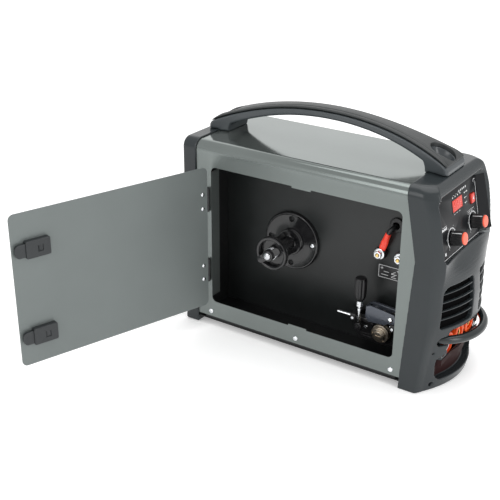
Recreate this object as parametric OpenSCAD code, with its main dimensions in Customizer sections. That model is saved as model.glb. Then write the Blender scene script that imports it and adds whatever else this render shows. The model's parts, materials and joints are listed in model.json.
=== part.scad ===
// MIG welding machine with an open wire compartment.
// +X is the control front, -Y the door side, +Z up.
// The origin is the centre of the base plate's underside.

/* [Case] */
// Half the width of the sheet cover
half_w = 85; // [85:0.5:88]
// Height of the cover's top face above the base plate's underside
cover_top = 282; // [280:1:284]
// Thickness of the cover sheet
sheet = 1.2; // [1:0.1:1.5]
// Outer radius of the cover's two long top bends
bend_r = 14; // [12:1:16]

/* [Door] */
// Width of the door opening
opening_w = 301; // [299:1:302]
// Height of the door opening
opening_h = 215; // [213:1:215]
// Angle the door stands open at rest, measured from closed
door_open = 108.8; // [90:0.1:120]

/* [Wire compartment] */
// Outer diameter of the spool hub
hub_d = 50; // [48:0.5:50]
// Diameter of the fixed flange behind the hub
flange_d = 90; // [80:1:100]
// Radius of the drive roll where the wire runs
roll_r = 14; // [13.5:0.5:14]
// Radius of the idler roll
idler_r = 10; // [9.5:0.5:10]

/* [Front] */
// Backward tilt of the control panel
panel_tilt = 12; // [10:0.5:14]
// Diameter of each control knob at its base
knob_d = 21; // [19:0.5:23]
// Diameter of the guard bar
bar_d = 12; // [10:0.5:13]
// Diameter of the hole for a cable plug's pin
plug_hole_d = 9; // [9:0.1:9.4]

/* [Handle] */
// Height of the grip's crown above the base plate's underside
handle_top = 340; // [338:1:344]
// Half width of the grip in the middle
grip_half_w = 15; // [13:0.5:17]
// Half width of the handle's feet
foot_half_w = 33; // [30:1:36]

/* [Hidden] */
$fn = 48;

// case
cover_rear = -176;
cover_front = 180;
cover_bottom = 6;
inner_w = half_w - sheet;
opening_rear = -147;
opening_bottom = 32;
opening_r = 8;
opening_front = opening_rear + opening_w;
opening_top = opening_bottom + opening_h;
tab_rear = -12;
tab_w = 30;
tab_h = 2.5;
return_depth = 20;
base_t = 1.5;
base_end = 165.5;
foot_z = -10;
bezel_w = 87;
bezel_top = 284;
bezel_r = 15;
cover_screw_z = 14.5;
cover_screw_x = [-149, 1, 153];
handle_screw_x = [-166, 163];
bezel_screw_y = 60;

// partition and the wire compartment
partition_y = -9;
partition_t = 1.5;
partition_back = partition_y + partition_t;
hub_x = -52;
hub_z = 130;
hub_r = hub_d / 2;
axle_r = 4;
running = 0.06;
wire_y = -32;
wire_z = 48;
wire_gap = 1;
roll_x = 111;
roll_z = wire_z - wire_gap / 2 - roll_r;
idler_z = wire_z + wire_gap / 2 + idler_r;
feeder_front = -26;
arm_x = 128;
arm_z = 63;
arm_pin_r = 4;
tensioner_x = 80;
tensioner_y = -43;
tensioner_z = 40;
terminal_x = [93.5, 124.7];
terminal_z = 148;
board_room_x = 164;
board_room_z = [176, 262];
grommet_x = 113.6;
grommet_z = 193;

// front
panel_x = 203;
panel_z = 205;
knob_y = [-34.4, 36.6];
button_y = 42;
button_v = 31;
display_y = -6.5;
display_v = 38;
socket_z = 48;
socket_y = [8, 44];
plate_x = 184;
nose_x = 212;
bar_z = 67;
bar_end_y = 60;
bar_end_x = 210;
bar_front_x = 243;
bar_seat_y = bar_end_y + 10.5;

// rear
rear_x = -172;
fan_y = 38;
fan_z = 185;
fan_w = 80;
switch_y = 38;
switch_z = 244;
switch_x = -174;
gland_y = 18;
gas_y = 58;
inlet_z = 55;

// door, in its closed place
hinge_x = -150.5;
hinge_y = -88.5;
hinge_z = [84.5, 197];
hinge_h = 36;
knuckle_r = 2.5;
hinge_pin_r = 1.2;
door_rear = -147.6;
door_front = 156.5;
door_bottom = 29.5;
door_top = 248.5;
door_in = -85.6;
door_out = -86.8;
latch_z = [72, 198];
latch_x = 104.5;
latch_l = 34.5;
latch_h = 26;
latch_travel = 8;

// colours
paint = [0.51, 0.54, 0.53];
dark_plastic = [0.24, 0.26, 0.28];
handle_plastic = [0.27, 0.29, 0.33];
black = [0.06, 0.06, 0.065];
orange = [0.9, 0.3, 0.12];
steel = [0.75, 0.76, 0.78];
brass = [0.75, 0.6, 0.3];
board_green = [0.1, 0.35, 0.2];

// ---------- helpers: extrude an outline along one axis between two values ----------
module along_x(x0, x1) { translate([x0, 0, 0]) rotate([90, 0, 90]) linear_extrude(x1 - x0) children(); }
module along_y(y0, y1) { translate([0, y1, 0]) rotate([90, 0, 0]) linear_extrude(y1 - y0) children(); }
module along_z(z0, z1) { translate([0, 0, z0]) linear_extrude(z1 - z0) children(); }
module rod_x(x0, x1, r) { translate([x0, 0, 0]) rotate([0, 90, 0]) cylinder(h = x1 - x0, r = r); }
module rod_y(y0, y1, r) { translate([0, y0, 0]) rotate([-90, 0, 0]) cylinder(h = y1 - y0, r = r); }

// a rectangle from one corner to the other, with round corners
module rounded(a, b, r) {
    for (u = [a[0] + r, b[0] - r], v = [a[1] + r, b[1] - r]) translate([u, v]) circle(r);
    translate([a[0] + r, a[1]]) square([b[0] - a[0] - 2 * r, b[1] - a[1]]);
    translate([a[0], a[1] + r]) square([b[0] - a[0], b[1] - a[1] - 2 * r]);
}

// the case's end outline: square below, two round corners above
module arch(w, z0, z1, r) {
    for (s = [-1, 1]) translate([s * (w - r), z1 - r]) circle(r);
    translate([-w + r, z0]) square([2 * (w - r), z1 - z0]);
    translate([-w, z0]) square([2 * w, z1 - r - z0]);
}

module hexagon(r) { circle(r, $fn = 6); }
// a hexagonal nut or head along Y
module hex_y(y0, y1, r) { along_y(y0, y1) hexagon(r); }

module on_panel() { translate([panel_x, 0, panel_z]) rotate([0, -panel_tilt, 0]) children(); }

module as_opened() {
    translate([hinge_x, hinge_y, 0]) rotate([0, 0, -door_open]) translate([-hinge_x, -hinge_y, 0])
        children();
}

// ---------- case ----------
module base_plate() {
    color(black) difference() {
        union() {
            translate([-171, -half_w + 0.2, 0]) cube([base_end + 171, 2 * half_w - 0.4, base_t]);
            for (s = [-1, 1])
                translate([-160, s > 0 ? inner_w - 1.6 : -inner_w + 0.1, base_t])
                    cube([320, 1.5, 24.5]);
        }
        for (x = cover_screw_x) translate([x, 0, cover_screw_z]) rod_y(-half_w, half_w, 2.1);
    }
}

module opening_outline() {
    difference() {
        rounded([opening_rear, opening_bottom], [opening_front, opening_top], opening_r);
        for (z = [opening_bottom, opening_top - tab_h])
            translate([tab_rear, z]) square([tab_w, tab_h]);
    }
}

module cover() {
    color(paint) difference() {
        union() {
            difference() {
                along_x(cover_rear, cover_front) difference() {
                    arch(half_w, cover_bottom, cover_top, bend_r);
                    arch(inner_w, cover_bottom - 1, cover_top - sheet, bend_r - sheet);
                }
                along_y(-half_w - 1, -half_w + 5) opening_outline();
            }
            translate([opening_rear - sheet, -half_w, opening_bottom + opening_r])
                cube([sheet, return_depth, opening_h - 2 * opening_r]);
        }
        for (x = cover_screw_x) translate([x, 0, cover_screw_z]) rod_y(-half_w - 1, half_w + 1, 2.1);
        for (x = handle_screw_x) translate([x, 0, cover_top - 5]) cylinder(h = 10, r = 2.9);
    }
}

module fan_slots() {
    for (i = [-4 : 4]) {
        z = i * 8;
        w = sqrt(37 * 37 - z * z);
        translate([fan_y - w, fan_z + z - 2.3]) square([2 * w, 4.6]);
    }
}

module rear_panel() {
    color(black) along_x(rear_x, rear_x + 1.5) difference() {
        arch(inner_w - 0.3, base_t + 0.1, cover_top - sheet - 0.3, bend_r - sheet - 0.3);
        fan_slots();
        translate([switch_y - 10.6, switch_z - 13.1]) square([21.2, 26.2]);
        translate([gland_y, inlet_z]) circle(8.2);
        translate([gas_y, inlet_z]) circle(5.2);
    }
}

module rear_bezel() {
    color(dark_plastic) difference() {
        union() {
            along_x(-197, rear_x) difference() {
                arch(bezel_w, -2, bezel_top, bezel_r);
                rounded([-70, 18], [70, 262], 10);
            }
            for (s = [-1, 1])
                translate([-196, s > 0 ? 57 : -bezel_w, foot_z]) cube([24, 30, 8.5]);
        }
        along_x(cover_rear - 0.2, rear_x + 1)
            arch(half_w + 0.15, -3, cover_top + 0.15, bend_r + 0.15);
        for (s = [-1, 1], z = [40, 240]) translate([0, s * 77, z]) rod_x(-198, -170, 2.3);
    }
}

// side outline of the front bezel: notched rear edge, bulging front
bezel_side = [
    [157, bezel_top], [159, 269], [176, 184], [166.5, 7], [166, foot_z], [221, foot_z],
    [224, 0], [229, 27], [232, 40], [233.5, 60], [233.5, 120], [230, 150], [223, 170],
    [216, 184], [209, 226], [202, 256], [197, 274], [190, bezel_top]
];
function front_curve(x, bulge, steps) =
    [for (i = [0 : steps]) let (y = bezel_w * (2 * i / steps - 1))
        [x - bulge * pow(y / bezel_w, 2), y]];
module front_plan(x, bulge) {
    polygon(concat([[150, bezel_w], [150, -bezel_w]], front_curve(x, bulge, 12)));
}

module panel_pocket() {
    on_panel() along_x(-2, 60) rounded([-71, -23], [71, 53.5], 9);
    on_panel() along_x(-22, -1) rounded([-66, -19], [66, 51.4], 6);
}

module front_bezel() {
    color(dark_plastic) difference() {
        intersection() {
            along_y(-bezel_w, bezel_w) polygon(bezel_side);
            along_x(150, 236) arch(bezel_w, foot_z, bezel_top, bezel_r);
            union() {
                along_z(foot_z, 28) front_plan(229, 36);
                along_z(28, 184) front_plan(233.5, 26);
                along_z(184, bezel_top) front_plan(216, 8);
            }
        }
        // the cover's front end and the base plate slide in from behind
        along_x(149, cover_front + 0.3)
            arch(half_w + 0.15, base_t, cover_top + 0.15, bend_r + 0.15);
        along_x(149, base_end + 0.3) arch(half_w + 0.15, -0.3, 20, 5);
        // hollow behind the front wall
        along_x(cover_front, 188) arch(80, base_t, 278, 10);
        along_x(187, 203) arch(74, 36, 168, 10);
        along_x(202, 214) arch(56, 40, 160, 8);
        panel_pocket();
        for (s = [-1, 1], i = [0 : 4])
            translate([196, s > 0 ? 12.5 : -69, 88 + i * 12.4]) cube([40, 56.5, 10]);
        // bay of the sockets, the recess under it and the holes of the guard bar
        along_x(186, 240) rounded([-55, 37], [56, 82], 6);
        along_x(187, 213.5) rounded([-58, 28.5], [66, 84], 6);
        along_x(204, 240) rounded([-62, 5], [62, 25], 7);
        along_x(200, 240)
            rounded([-bar_seat_y, bar_z - 6.4], [bar_seat_y, bar_z + 6.4], 6.2);
        for (s = [-1, 1]) translate([0, s * bar_end_y, bar_z]) rod_x(186, 240, bar_stub_r + 0.05);
        for (s = [-1, 1]) translate([0, s * bezel_screw_y, -2]) rod_x(180, 240, 2.6);
        translate([handle_screw_x[1], 0, 270]) cylinder(h = 20, r = 2.9);
    }
}

module socket_panel() {
    color(black) {
        along_x(plate_x, plate_x + 1.5) difference() {
            translate([-76, base_t]) square([152, 160]);
            translate([wire_y, wire_z]) circle(9.2);
            for (y = socket_y) translate([y, socket_z]) circle(9.2);
        }
        for (span = [[-76, partition_y - 0.5], [partition_back + 0.5, 76]])
            translate([plate_x - 12, span[0], base_t]) cube([12, span[1] - span[0], 1.5]);
    }
}

module partition() {
    color(black) along_y(partition_y, partition_back) difference() {
        translate([rear_x + 1.7, base_t]) square([plate_x - rear_x - 1.9, 275]);
        // room for the control board
        translate([board_room_x, board_room_z[0]])
            square([30, board_room_z[1] - board_room_z[0]]);
        translate([hub_x, hub_z]) circle(axle_r + 0.2);
        translate([roll_x, roll_z]) circle(6);
        for (x = terminal_x) translate([x, terminal_z]) circle(5);
        translate([grommet_x, grommet_z]) circle(8.5);
    }
}

// pan-head screws of the cover and bezels, and the two handle screws
module case_screws() {
    color(steel) {
        for (x = cover_screw_x, s = [-1, 1]) translate([x, 0, cover_screw_z]) {
            rod_y(s > 0 ? half_w : -half_w - 2, s > 0 ? half_w + 2 : -half_w, 3.9);
            rod_y(s > 0 ? half_w - 5 : -half_w, s > 0 ? half_w : -half_w + 5, 1.9);
        }
        for (s = [-1, 1], z = [40, 240]) translate([0, s * 77, z]) {
            rod_x(-199, -197, 3.6);
            rod_x(-197, -178, 2.1);
        }
        for (x = handle_screw_x) translate([x, 0, 0]) {
            translate([0, 0, 290]) cylinder(h = 4, r = 4.8);
            translate([0, 0, 272]) cylinder(h = 18, r = 2.6);
        }
    }
}

// ---------- handle: two shells of one arch ----------
arch_r = 460;
inner_r = 400;
handle_rear = -189;
handle_front = 187;
function arch_z(x, r, top) = top - r + sqrt(r * r - x * x);
function handle_half(x) = grip_half_w + (foot_half_w - grip_half_w) * pow(abs(x) / 188, 3);
function steps_x(a, b, n) = [for (i = [0 : n]) a + (b - a) * i / n];

// the feet rest on the bezels and, between them, on the cover's top
module handle_side(top) {
    polygon(concat(
        [for (x = steps_x(handle_rear + 5, handle_front - 5, 24)) [x, arch_z(x, arch_r, top)]],
        [[handle_front, bezel_top + 4], [handle_front, bezel_top], [156.8, bezel_top],
         [156.8, cover_top], [147, cover_top]],
        [for (x = steps_x(144, -144, 18)) [x, arch_z(x, inner_r, 326.5)]],
        [[-149, cover_top], [rear_x + 0.2, cover_top], [rear_x + 0.2, bezel_top],
         [handle_rear, bezel_top], [handle_rear, bezel_top + 4]]
    ));
}
module handle_plan(inset) {
    polygon(concat(
        [for (x = steps_x(handle_rear, handle_front, 24)) [x, handle_half(x) - inset]],
        [for (x = steps_x(handle_front, handle_rear, 24)) [x, -handle_half(x) + inset]]
    ));
}
module above_split(lift) {
    along_y(-60, 60) polygon(concat(
        [for (x = steps_x(-200, 200, 24)) [x, arch_z(x, arch_r, handle_top - 8) + lift]],
        [[200, 400], [-200, 400]]
    ));
}
module screw_wells() {
    for (x = handle_screw_x) translate([x, 0, 0]) {
        translate([0, 0, 290]) cylinder(h = 60, r = 7);
        translate([0, 0, 270]) cylinder(h = 30, r = 2.9);
    }
}

module handle_base() {
    color(handle_plastic) difference() {
        intersection() {
            along_y(-60, 60) handle_side(handle_top - 4);
            along_z(280, 350) handle_plan(0);
        }
        above_split(0);
        screw_wells();
    }
}

module handle_grip() {
    color(dark_plastic) difference() {
        intersection() {
            union() {
                intersection() {
                    along_y(-60, 60) handle_side(handle_top - 4);
                    along_z(280, 350) handle_plan(0);
                }
                intersection() {
                    along_y(-60, 60) handle_side(handle_top);
                    along_z(280, 350) handle_plan(5);
                }
            }
            above_split(0.02);
        }
        screw_wells();
    }
}

// ---------- front ----------
bar_sag = bar_front_x - bar_end_x;
bar_R = (bar_end_y * bar_end_y + bar_sag * bar_sag) / (2 * bar_sag);
bar_stub_r = bar_d / 2 - 0.4;
module guard_bar() {
    color(dark_plastic) {
        intersection() {
            translate([bar_front_x - bar_R, 0, bar_z])
                rotate_extrude($fn = 96) translate([bar_R, 0]) circle(bar_d / 2);
            translate([bar_end_x - 2, -bar_end_y - 10, bar_z - 10]) cube([60, 2 * bar_end_y + 20, 20]);
        }
        for (s = [-1, 1]) translate([0, s * bar_end_y, bar_z]) rod_x(187, bar_end_x + 3, bar_stub_r);
    }
}

// a cable socket: orange body, brass core with the pin's hole, nut behind the panel
module plug_socket(y, body_r) {
    translate([0, y, socket_z]) {
        difference() {
            union() {
                rod_x(plate_x + 1.5, plate_x + 6, body_r);
                rod_x(plate_x + 6, nose_x, body_r - 1.5);
                rod_x(plate_x - 12, plate_x + 6, 9);
            }
            rod_x(nose_x - 3, nose_x + 1, plug_hole_d / 2 + 4);
            rod_x(nose_x - 26, nose_x + 1, plug_hole_d / 2);
        }
    }
}
module socket_negative() { color(orange) plug_socket(socket_y[0], 17); }
module socket_positive() { color(orange) plug_socket(socket_y[1], 17); }

module torch_outlet() {
    color(orange) translate([0, wire_y, wire_z]) difference() {
        union() {
            rod_x(plate_x + 1.5, plate_x + 6, 19);
            rod_x(plate_x + 6, nose_x, 17.5);
            rod_x(plate_x - 12, plate_x + 6, 9);
        }
        rod_x(nose_x - 22, nose_x + 1, 10);
        rod_x(plate_x - 13, nose_x, 2.6);
    }
}

module control_panel() {
    color(black) on_panel() difference() {
        along_x(-2, 0) difference() {
            rounded([-70.7, -22.7], [70.7, 53.2], 8.8);
            translate([display_y - 18, display_v - 9]) square([36, 18]);
            translate([button_y - 7, button_v - 7.5]) square([14, 15]);
        }
        for (y = knob_y) translate([0, y, 0]) rod_x(-3, 1, 4);
        for (p = lamp_places) translate([0, p[0], p[1]]) rod_x(-3, 1, 1.1);
    }
}
lamp_places = [[-20, 50], [-12, 50], [-4, 50], [4, 50], [18, 46], [18, 39], [18, 32], [26, 46]];

module display_window() {
    color([0.85, 0.3, 0.22]) on_panel()
        along_x(-4, 0.4) translate([display_y - 17.9, display_v - 8.9]) square([35.8, 17.8]);
}

module indicator_lamps() {
    color([0.9, 0.9, 0.85]) on_panel()
        for (p = lamp_places) translate([0, p[0], p[1]]) rod_x(-3, 0.4, 1);
}

module control_board() {
    color(board_green) on_panel() {
        along_x(-21.6, -20) rounded([-62, -17], [62, 46], 2);
        translate([-20, display_y - 17, display_v - 8]) cube([15.9, 34, 16]);
        translate([-20, button_y - 5, button_v - 5]) cube([13, 10, 10]);
    }
}

module potentiometers() {
    color(steel) on_panel() for (y = knob_y) translate([0, y, 0]) difference() {
        union() {
            rod_x(-20, -9, 8);
            rod_x(-9, -2, 3.9);
        }
        rod_x(-15, -1, 3 + running);
    }
}

module knob(y) {
    on_panel() translate([0, y, 0]) {
        rod_x(-14, 1.5, 3);
        translate([0.8, 0, 0]) rotate([0, 90, 0]) cylinder(h = 19.2, r1 = knob_d / 2, r2 = knob_d / 2 - 1);
        rod_x(20, 21.8, knob_d / 2 - 2.3);
    }
}
module knob_left() { color(black) knob(knob_y[0]); }
module knob_right() { color(black) knob(knob_y[1]); }

module mode_button() {
    color(orange) on_panel() translate([0, button_y, button_v]) {
        translate([-5, -6.5, -7]) cube([8, 13, 14]);
    }
}

// ---------- spool hub ----------
module at_hub() { translate([hub_x, 0, hub_z]) children(); }
hub_back = -18;
hub_front = -72;

module hub_flange() {
    color(black) at_hub() difference() {
        union() {
            rod_y(partition_y - 7, partition_y, flange_d / 2);
            rod_y(hub_back + 0.4, partition_y - 7, 16);
        }
        rod_y(-30, 0, axle_r + 0.2);
        for (a = [0 : 90 : 270]) rotate([0, a, 0]) translate([35, 0, 0]) {
            rod_y(-20, partition_y + 1, 2.3);
            rod_y(-20, partition_y - 4, 4.6);
        }
    }
}

module hub_axle() {
    color(steel) at_hub() {
        rod_y(-83, partition_back, axle_r);
        hex_y(partition_back, partition_back + 5, 8);
        rod_y(-84.4, -82, 5.6);
    }
}

module brake_spring() {
    color(steel) at_hub() for (i = [0 : 2])
        translate([0, -71.6 + i * 2.4, 0]) rotate([90, 0, 0])
            rotate_extrude() translate([8, 0]) circle(0.9, $fn = 24);
}

module spool_hub() {
    color(black) at_hub() difference() {
        union() {
            rod_y(-66, hub_back, 11);
            rod_y(hub_front, hub_front + 9, hub_r);
            rod_y(hub_back - 4, hub_back, hub_r - 3);
            for (a = [0, 90]) rotate([0, a + 45, 0])
                translate([-hub_r + 0.6, -66, -1.6]) cube([2 * hub_r - 1.2, 48, 3.2]);
        }
        rod_y(hub_front - 1, hub_front + 8, hub_r - 5);
        rod_y(-80, 0, axle_r + running);
    }
}

module hub_lock() {
    color(black) at_hub() difference() {
        union() {
            rod_y(-81.5, -74, 8.5);
            rotate([0, -35, 0]) translate([-22, -78.5, -5.5]) cube([44, 4.5, 11]);
        }
        rod_y(-90, -70, axle_r + running);
    }
}

// ---------- wire feeder ----------
module at_roll() { translate([roll_x, 0, roll_z]) children(); }

module feeder_body() {
    color(dark_plastic) difference() {
        union() {
            along_y(feeder_front, partition_y) polygon([
                [63, 54], [73, 54], [75, 46], [88, 46], [94, 40], [122, 40], [124, 54],
                [134, 54], [134, 14], [72, 14], [63, 26]
            ]);
            translate([63, -38, 42]) cube([9, 29, 12]);
            translate([126, -38, 42]) cube([8, 29, 12]);
            along_y(-18.7, partition_y) translate([120, 40]) square([15, 31]);
            translate([arm_x, 0, arm_z]) {
                rod_y(-26, partition_y, arm_pin_r);
                rod_y(-29, -25.8, 6.5);
            }
            translate([tensioner_x, 0, tensioner_z]) rod_y(-48, partition_y, 2.5);
        }
        translate([0, wire_y, wire_z]) rod_x(60, 140, 2.5);
        at_roll() rod_y(-40, 0, axle_r + running);
    }
}

// small bright screws in the hub flange and the feeder
module compartment_screws() {
    color(steel) {
        at_hub() for (a = [0 : 90 : 270]) rotate([0, a, 0]) translate([35, 0, 0]) {
            rod_y(partition_y - 6.6, partition_y - 4, 4);
            rod_y(partition_y - 4, partition_y, 2.1);
        }
        for (p = [[67, 47], [74, 28], [130, 47], [130, 22]]) translate([p[0], 0, p[1]])
            rod_y((p[1] > 40 ? -38 : feeder_front) - 2, p[1] > 40 ? -38 : feeder_front, 2.8);
    }
}

module wire_guides() {
    color(steel) translate([0, wire_y, wire_z]) {
        difference() {
            rod_x(44, 92, 2.5);
            rod_x(40, 100, 1);
        }
        difference() {
            rod_x(124, nose_x - 22, 2.5);
            rod_x(120, 230, 1);
        }
    }
}

module feed_motor() {
    color(steel) difference() {
        union() {
            translate([roll_x - 19, partition_back, 14]) cube([38, 28, 38]);
            at_roll() rod_y(partition_back + 28, 76, 20);
        }
        at_roll() rod_y(-20, 6, axle_r + running);
    }
}

module drive_roll() {
    color(steel) at_roll() difference() {
        union() {
            rod_y(-37, -33, roll_r - 0.3);
            rod_y(-33, -31, roll_r - 0.8);
            rod_y(-31, -27, roll_r - 0.3);
            rod_y(-43, -37, 9);
            rod_y(-27, 5, axle_r);
        }
        for (a = [30, 150, 270]) rotate([0, a, 0]) translate([0, 0, 11]) rod_y(-38, -35, 1.2);
    }
}

module idler_roll() {
    color(steel) translate([roll_x, 0, idler_z]) difference() {
        rod_y(-36.5, -27.5, idler_r - 0.3);
        rod_y(-40, -20, 2.5 + running);
    }
}

module pressure_arm() {
    color(handle_plastic) difference() {
        union() {
            along_y(-25, -19) polygon([[134, 57], [136, 63], [134, 70], [128, 72], [92, 75], [86, 72],
                [86, 64], [100, 56]]);
            translate([roll_x, 0, idler_z]) {
                rod_y(-37.5, -22, 2.5);
                rod_y(-39, -37, 4);
            }
            translate([86, -36, 66]) cube([5, 12, 6]);
        }
        translate([arm_x, 0, arm_z]) rod_y(-40, 0, arm_pin_r + running);
    }
}

module at_tensioner() { translate([tensioner_x, tensioner_y, tensioner_z]) children(); }
module tensioner() {
    color(steel) at_tensioner() difference() {
        union() {
            rod_y(-3.5, 3.5, 5.5);
            cylinder(h = 60, r = 2.5);
            translate([0, 0, 33]) cylinder(h = 9, r = 5.4);
        }
        rod_y(-10, 10, 2.5 + running);
    }
}

module tension_knob() {
    color(black) at_tensioner() difference() {
        union() {
            translate([0, 0, 43]) cylinder(h = 6, r1 = 6, r2 = 7.8);
            translate([0, 0, 49]) cylinder(h = 26, r = 7.8);
            translate([0, 0, 75]) cylinder(h = 3, r1 = 7.8, r2 = 5.5);
        }
        cylinder(h = 61, r = 2.5 + running);
        for (a = [0 : 45 : 315]) rotate([0, 0, a]) translate([8.6, 0, 46]) cylinder(h = 40, r = 1.6);
    }
}

// ---------- polarity terminals ----------
module at_terminals() { for (x = terminal_x) translate([x, 0, terminal_z]) children(); }

module terminal_insulators() {
    color(black) at_terminals() difference() {
        union() {
            rod_y(-16, partition_y, 9.5);
            rod_y(partition_y, partition_back, 4.8);
            rod_y(partition_back, -3, 9.5);
        }
        rod_y(-20, 0, 3.1);
    }
}

module terminal_studs() {
    color(brass) at_terminals() {
        rod_y(-33, 8, 3);
    }
}

module terminal_nuts() {
    color(steel) at_terminals() difference() {
        union() {
            rod_y(-20, -18.6, 7);
            hex_y(-25, -20, 6);
            rod_y(-3, -1.6, 7);
            hex_y(-1.6, 3, 6);
        }
        rod_y(-30, 10, 3.05);
    }
}

sleeve_high = [107, -22, 183];
lead_r = 4.2;
module between(a, b, r) {
    d = b - a;
    l = norm(d);
    translate(a) rotate([0, acos(d[2] / l), atan2(d[1], d[0])]) cylinder(h = l, r = r);
}
module polarity_lead() {
    color(black) {
        translate([terminal_x[0], 0, terminal_z]) rotate([0, 22, 0]) along_y(-18.5, -16.1) difference() {
            union() {
                circle(7);
                translate([-3.5, 5]) square([7, 8]);
            }
            circle(3.1);
        }
        between(sleeve_high, [grommet_x - 1.6, -22, grommet_z - 2], 3.4);
        translate([grommet_x - 1, 0, grommet_z - 1]) rod_y(-26.5, 12, lead_r);
    }
}

module lug_sleeve() {
    color([0.85, 0.12, 0.08]) difference() {
        between([98, -17.3, 160], sleeve_high, 5.4);
        translate([terminal_x[0], 0, terminal_z]) rotate([0, 22, 0])
            translate([-3.6, -18.6, 0]) cube([7.2, 2.6, 13.1]);
    }
}

module cable_grommet() {
    color(black) translate([grommet_x, 0, grommet_z]) difference() {
        union() {
            rod_y(-13, partition_y, 11);
            rod_y(partition_y, partition_back, 8.4);
            rod_y(partition_back, -5.5, 11);
        }
        translate([-1, 0, -1]) rod_y(-20, 0, lead_r + 0.05);
    }
}

module terminal_label() {
    color(black) along_y(partition_y - 0.6, partition_y) rounded([89, 108], [143, 129], 2);
}

// ---------- power side ----------
module power_board() {
    color(board_green) {
        translate([-112, -2, 112]) cube([196, 80, 1.6]);
        for (x = [-95, -65]) translate([x, 55, 113.6]) cylinder(h = 42, r = 13);
        translate([-112, -4.5, 106]) cube([196, 2.5, 10]);
        for (x = [-104, 76]) translate([x, -7.5, 108]) cube([6, 3, 6]);
    }
}

module heatsinks() {
    color(steel) for (y = [6, 44]) translate([-42, y, 113.6]) {
        cube([100, 28, 4]);
        for (i = [0 : 6]) translate([0, i * 4.3, 4]) cube([100, 2, 38]);
    }
}

module transformer() {
    color([0.55, 0.3, 0.15]) translate([-110, 10, base_t]) {
        cube([70, 60, 8]);
        translate([0, 10, 8]) cube([70, 40, 50]);
        translate([12, 0, 12]) cube([46, 60, 42]);
    }
}

module output_choke() {
    color([0.6, 0.35, 0.15]) translate([10, 40, base_t]) difference() {
        cylinder(h = 40, r = 32);
        translate([0, 0, 4]) cylinder(h = 40, r = 13);
    }
}

module at_fan() { translate([0, fan_y, fan_z]) children(); }
fan_front = rear_x + 1.5;
module fan_frame() {
    color(black) at_fan() {
        along_x(fan_front, fan_front + 25) difference() {
            rounded([-fan_w / 2, -fan_w / 2], [fan_w / 2, fan_w / 2], 4);
            circle(37.5);
        }
        along_x(fan_front + 21, fan_front + 25) {
            circle(14);
            for (a = [45 : 90 : 315]) rotate(a) translate([0, -2]) square([39, 4]);
        }
        rod_x(fan_front + 8, fan_front + 22, 1.5);
    }
}

module fan_rotor() {
    color(black) at_fan() difference() {
        union() {
            rod_x(fan_front + 3, fan_front + 20, 15);
            for (i = [0 : 6]) intersection() {
                rod_x(fan_front + 4, fan_front + 19, 36);
                rotate([i * 360 / 7, 0, 0]) translate([fan_front + 11.5, 0, 10])
                    rotate([0, 0, 40]) translate([-0.8, -14, 0]) cube([1.6, 28, 30]);
            }
        }
        rod_x(fan_front + 5, fan_front + 21, 1.5 + running);
    }
}

module switch_frame() {
    color(black) translate([0, switch_y, switch_z]) difference() {
        union() {
            along_x(rear_x - 3, rear_x) rounded([-13, -17], [13, 17], 2);
            translate([rear_x, -10.5, -13]) cube([24, 21, 26]);
        }
        translate([switch_x, 0, 0]) rod_y(-8.3, 8.3, 12.9);
        translate([switch_x, 0, 0]) rod_y(-9.8, 9.8, 1.5 + running);
        translate([rear_x - 4, -8.3, -12.4]) cube([3, 16.6, 24.8]);
    }
}

module power_rocker() {
    color([0.7, 0.1, 0.08]) translate([switch_x, switch_y, switch_z]) {
        rotate([0, -10, 0]) along_y(-8, 8)
            polygon([[4, -10], [-4.5, -11], [-2.2, 0], [-4.5, 11], [4, 10], [6, 0]]);
        rod_y(-9.6, 9.6, 1.5);
    }
}

module mains_gland() {
    color(black) translate([0, gland_y, inlet_z]) difference() {
        union() {
            along_x(rear_x - 6, rear_x) hexagon(12);
            rod_x(rear_x - 17, rear_x - 6, 10);
            rod_x(rear_x, rear_x + 14, 8);
            along_x(rear_x + 1.5, rear_x + 6.5) hexagon(12);
        }
        rod_x(rear_x - 30, rear_x + 20, 5);
    }
}

module gas_valve() {
    color(brass) translate([0, gas_y, inlet_z]) difference() {
        union() {
            rod_x(rear_x - 18, rear_x, 4);
            rod_x(rear_x, rear_x + 4, 5);
            along_x(rear_x + 1.5, rear_x + 6) hexagon(9);
            translate([rear_x + 6, -11, -11]) cube([32, 22, 22]);
            translate([rear_x + 22, 0, 11]) cylinder(h = 26, r = 9.5);
        }
        rod_x(rear_x - 30, rear_x + 30, 2.4);
    }
}

// ---------- door ----------
module knuckle(z0, z1) { translate([hinge_x, hinge_y, z0]) cylinder(h = z1 - z0, r = knuckle_r); }

module frame_hinges() {
    color(black) for (z = hinge_z) {
        difference() {
            union() {
                translate([-168, -half_w - 1.2, z - hinge_h / 2]) cube([168 + hinge_x, 1.2, hinge_h]);
                knuckle(z - hinge_h / 2, z - 6);
                knuckle(z + 6, z + hinge_h / 2);
            }
            translate([hinge_x - 3, -92, z - 6]) cube([6, 10, 12]);
        }
        translate([hinge_x, hinge_y, z - 8]) cylinder(h = 16, r = hinge_pin_r);
        for (s = [-1, 1]) translate([-161, 0, z + s * 11]) rod_y(-half_w - 2.2, -half_w - 1.2, 2.4);
    }
}

module door_hinges() {
    color(black) as_opened() for (z = hinge_z) difference() {
        union() {
            translate([-147.6, door_out - 1.2, z - hinge_h / 2]) cube([15, 1.2, hinge_h]);
            translate([hinge_x, door_out - 1.2, z - 5.7]) cube([5, 1.2, 11.4]);
            knuckle(z - 5.7, z + 5.7);
        }
        translate([hinge_x, hinge_y, z - 10]) cylinder(h = 20, r = hinge_pin_r + running);
        for (s = [-1, 1]) translate([-140, 0, z + s * 11]) rod_y(-90, -80, 1.65);
    }
}

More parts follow.
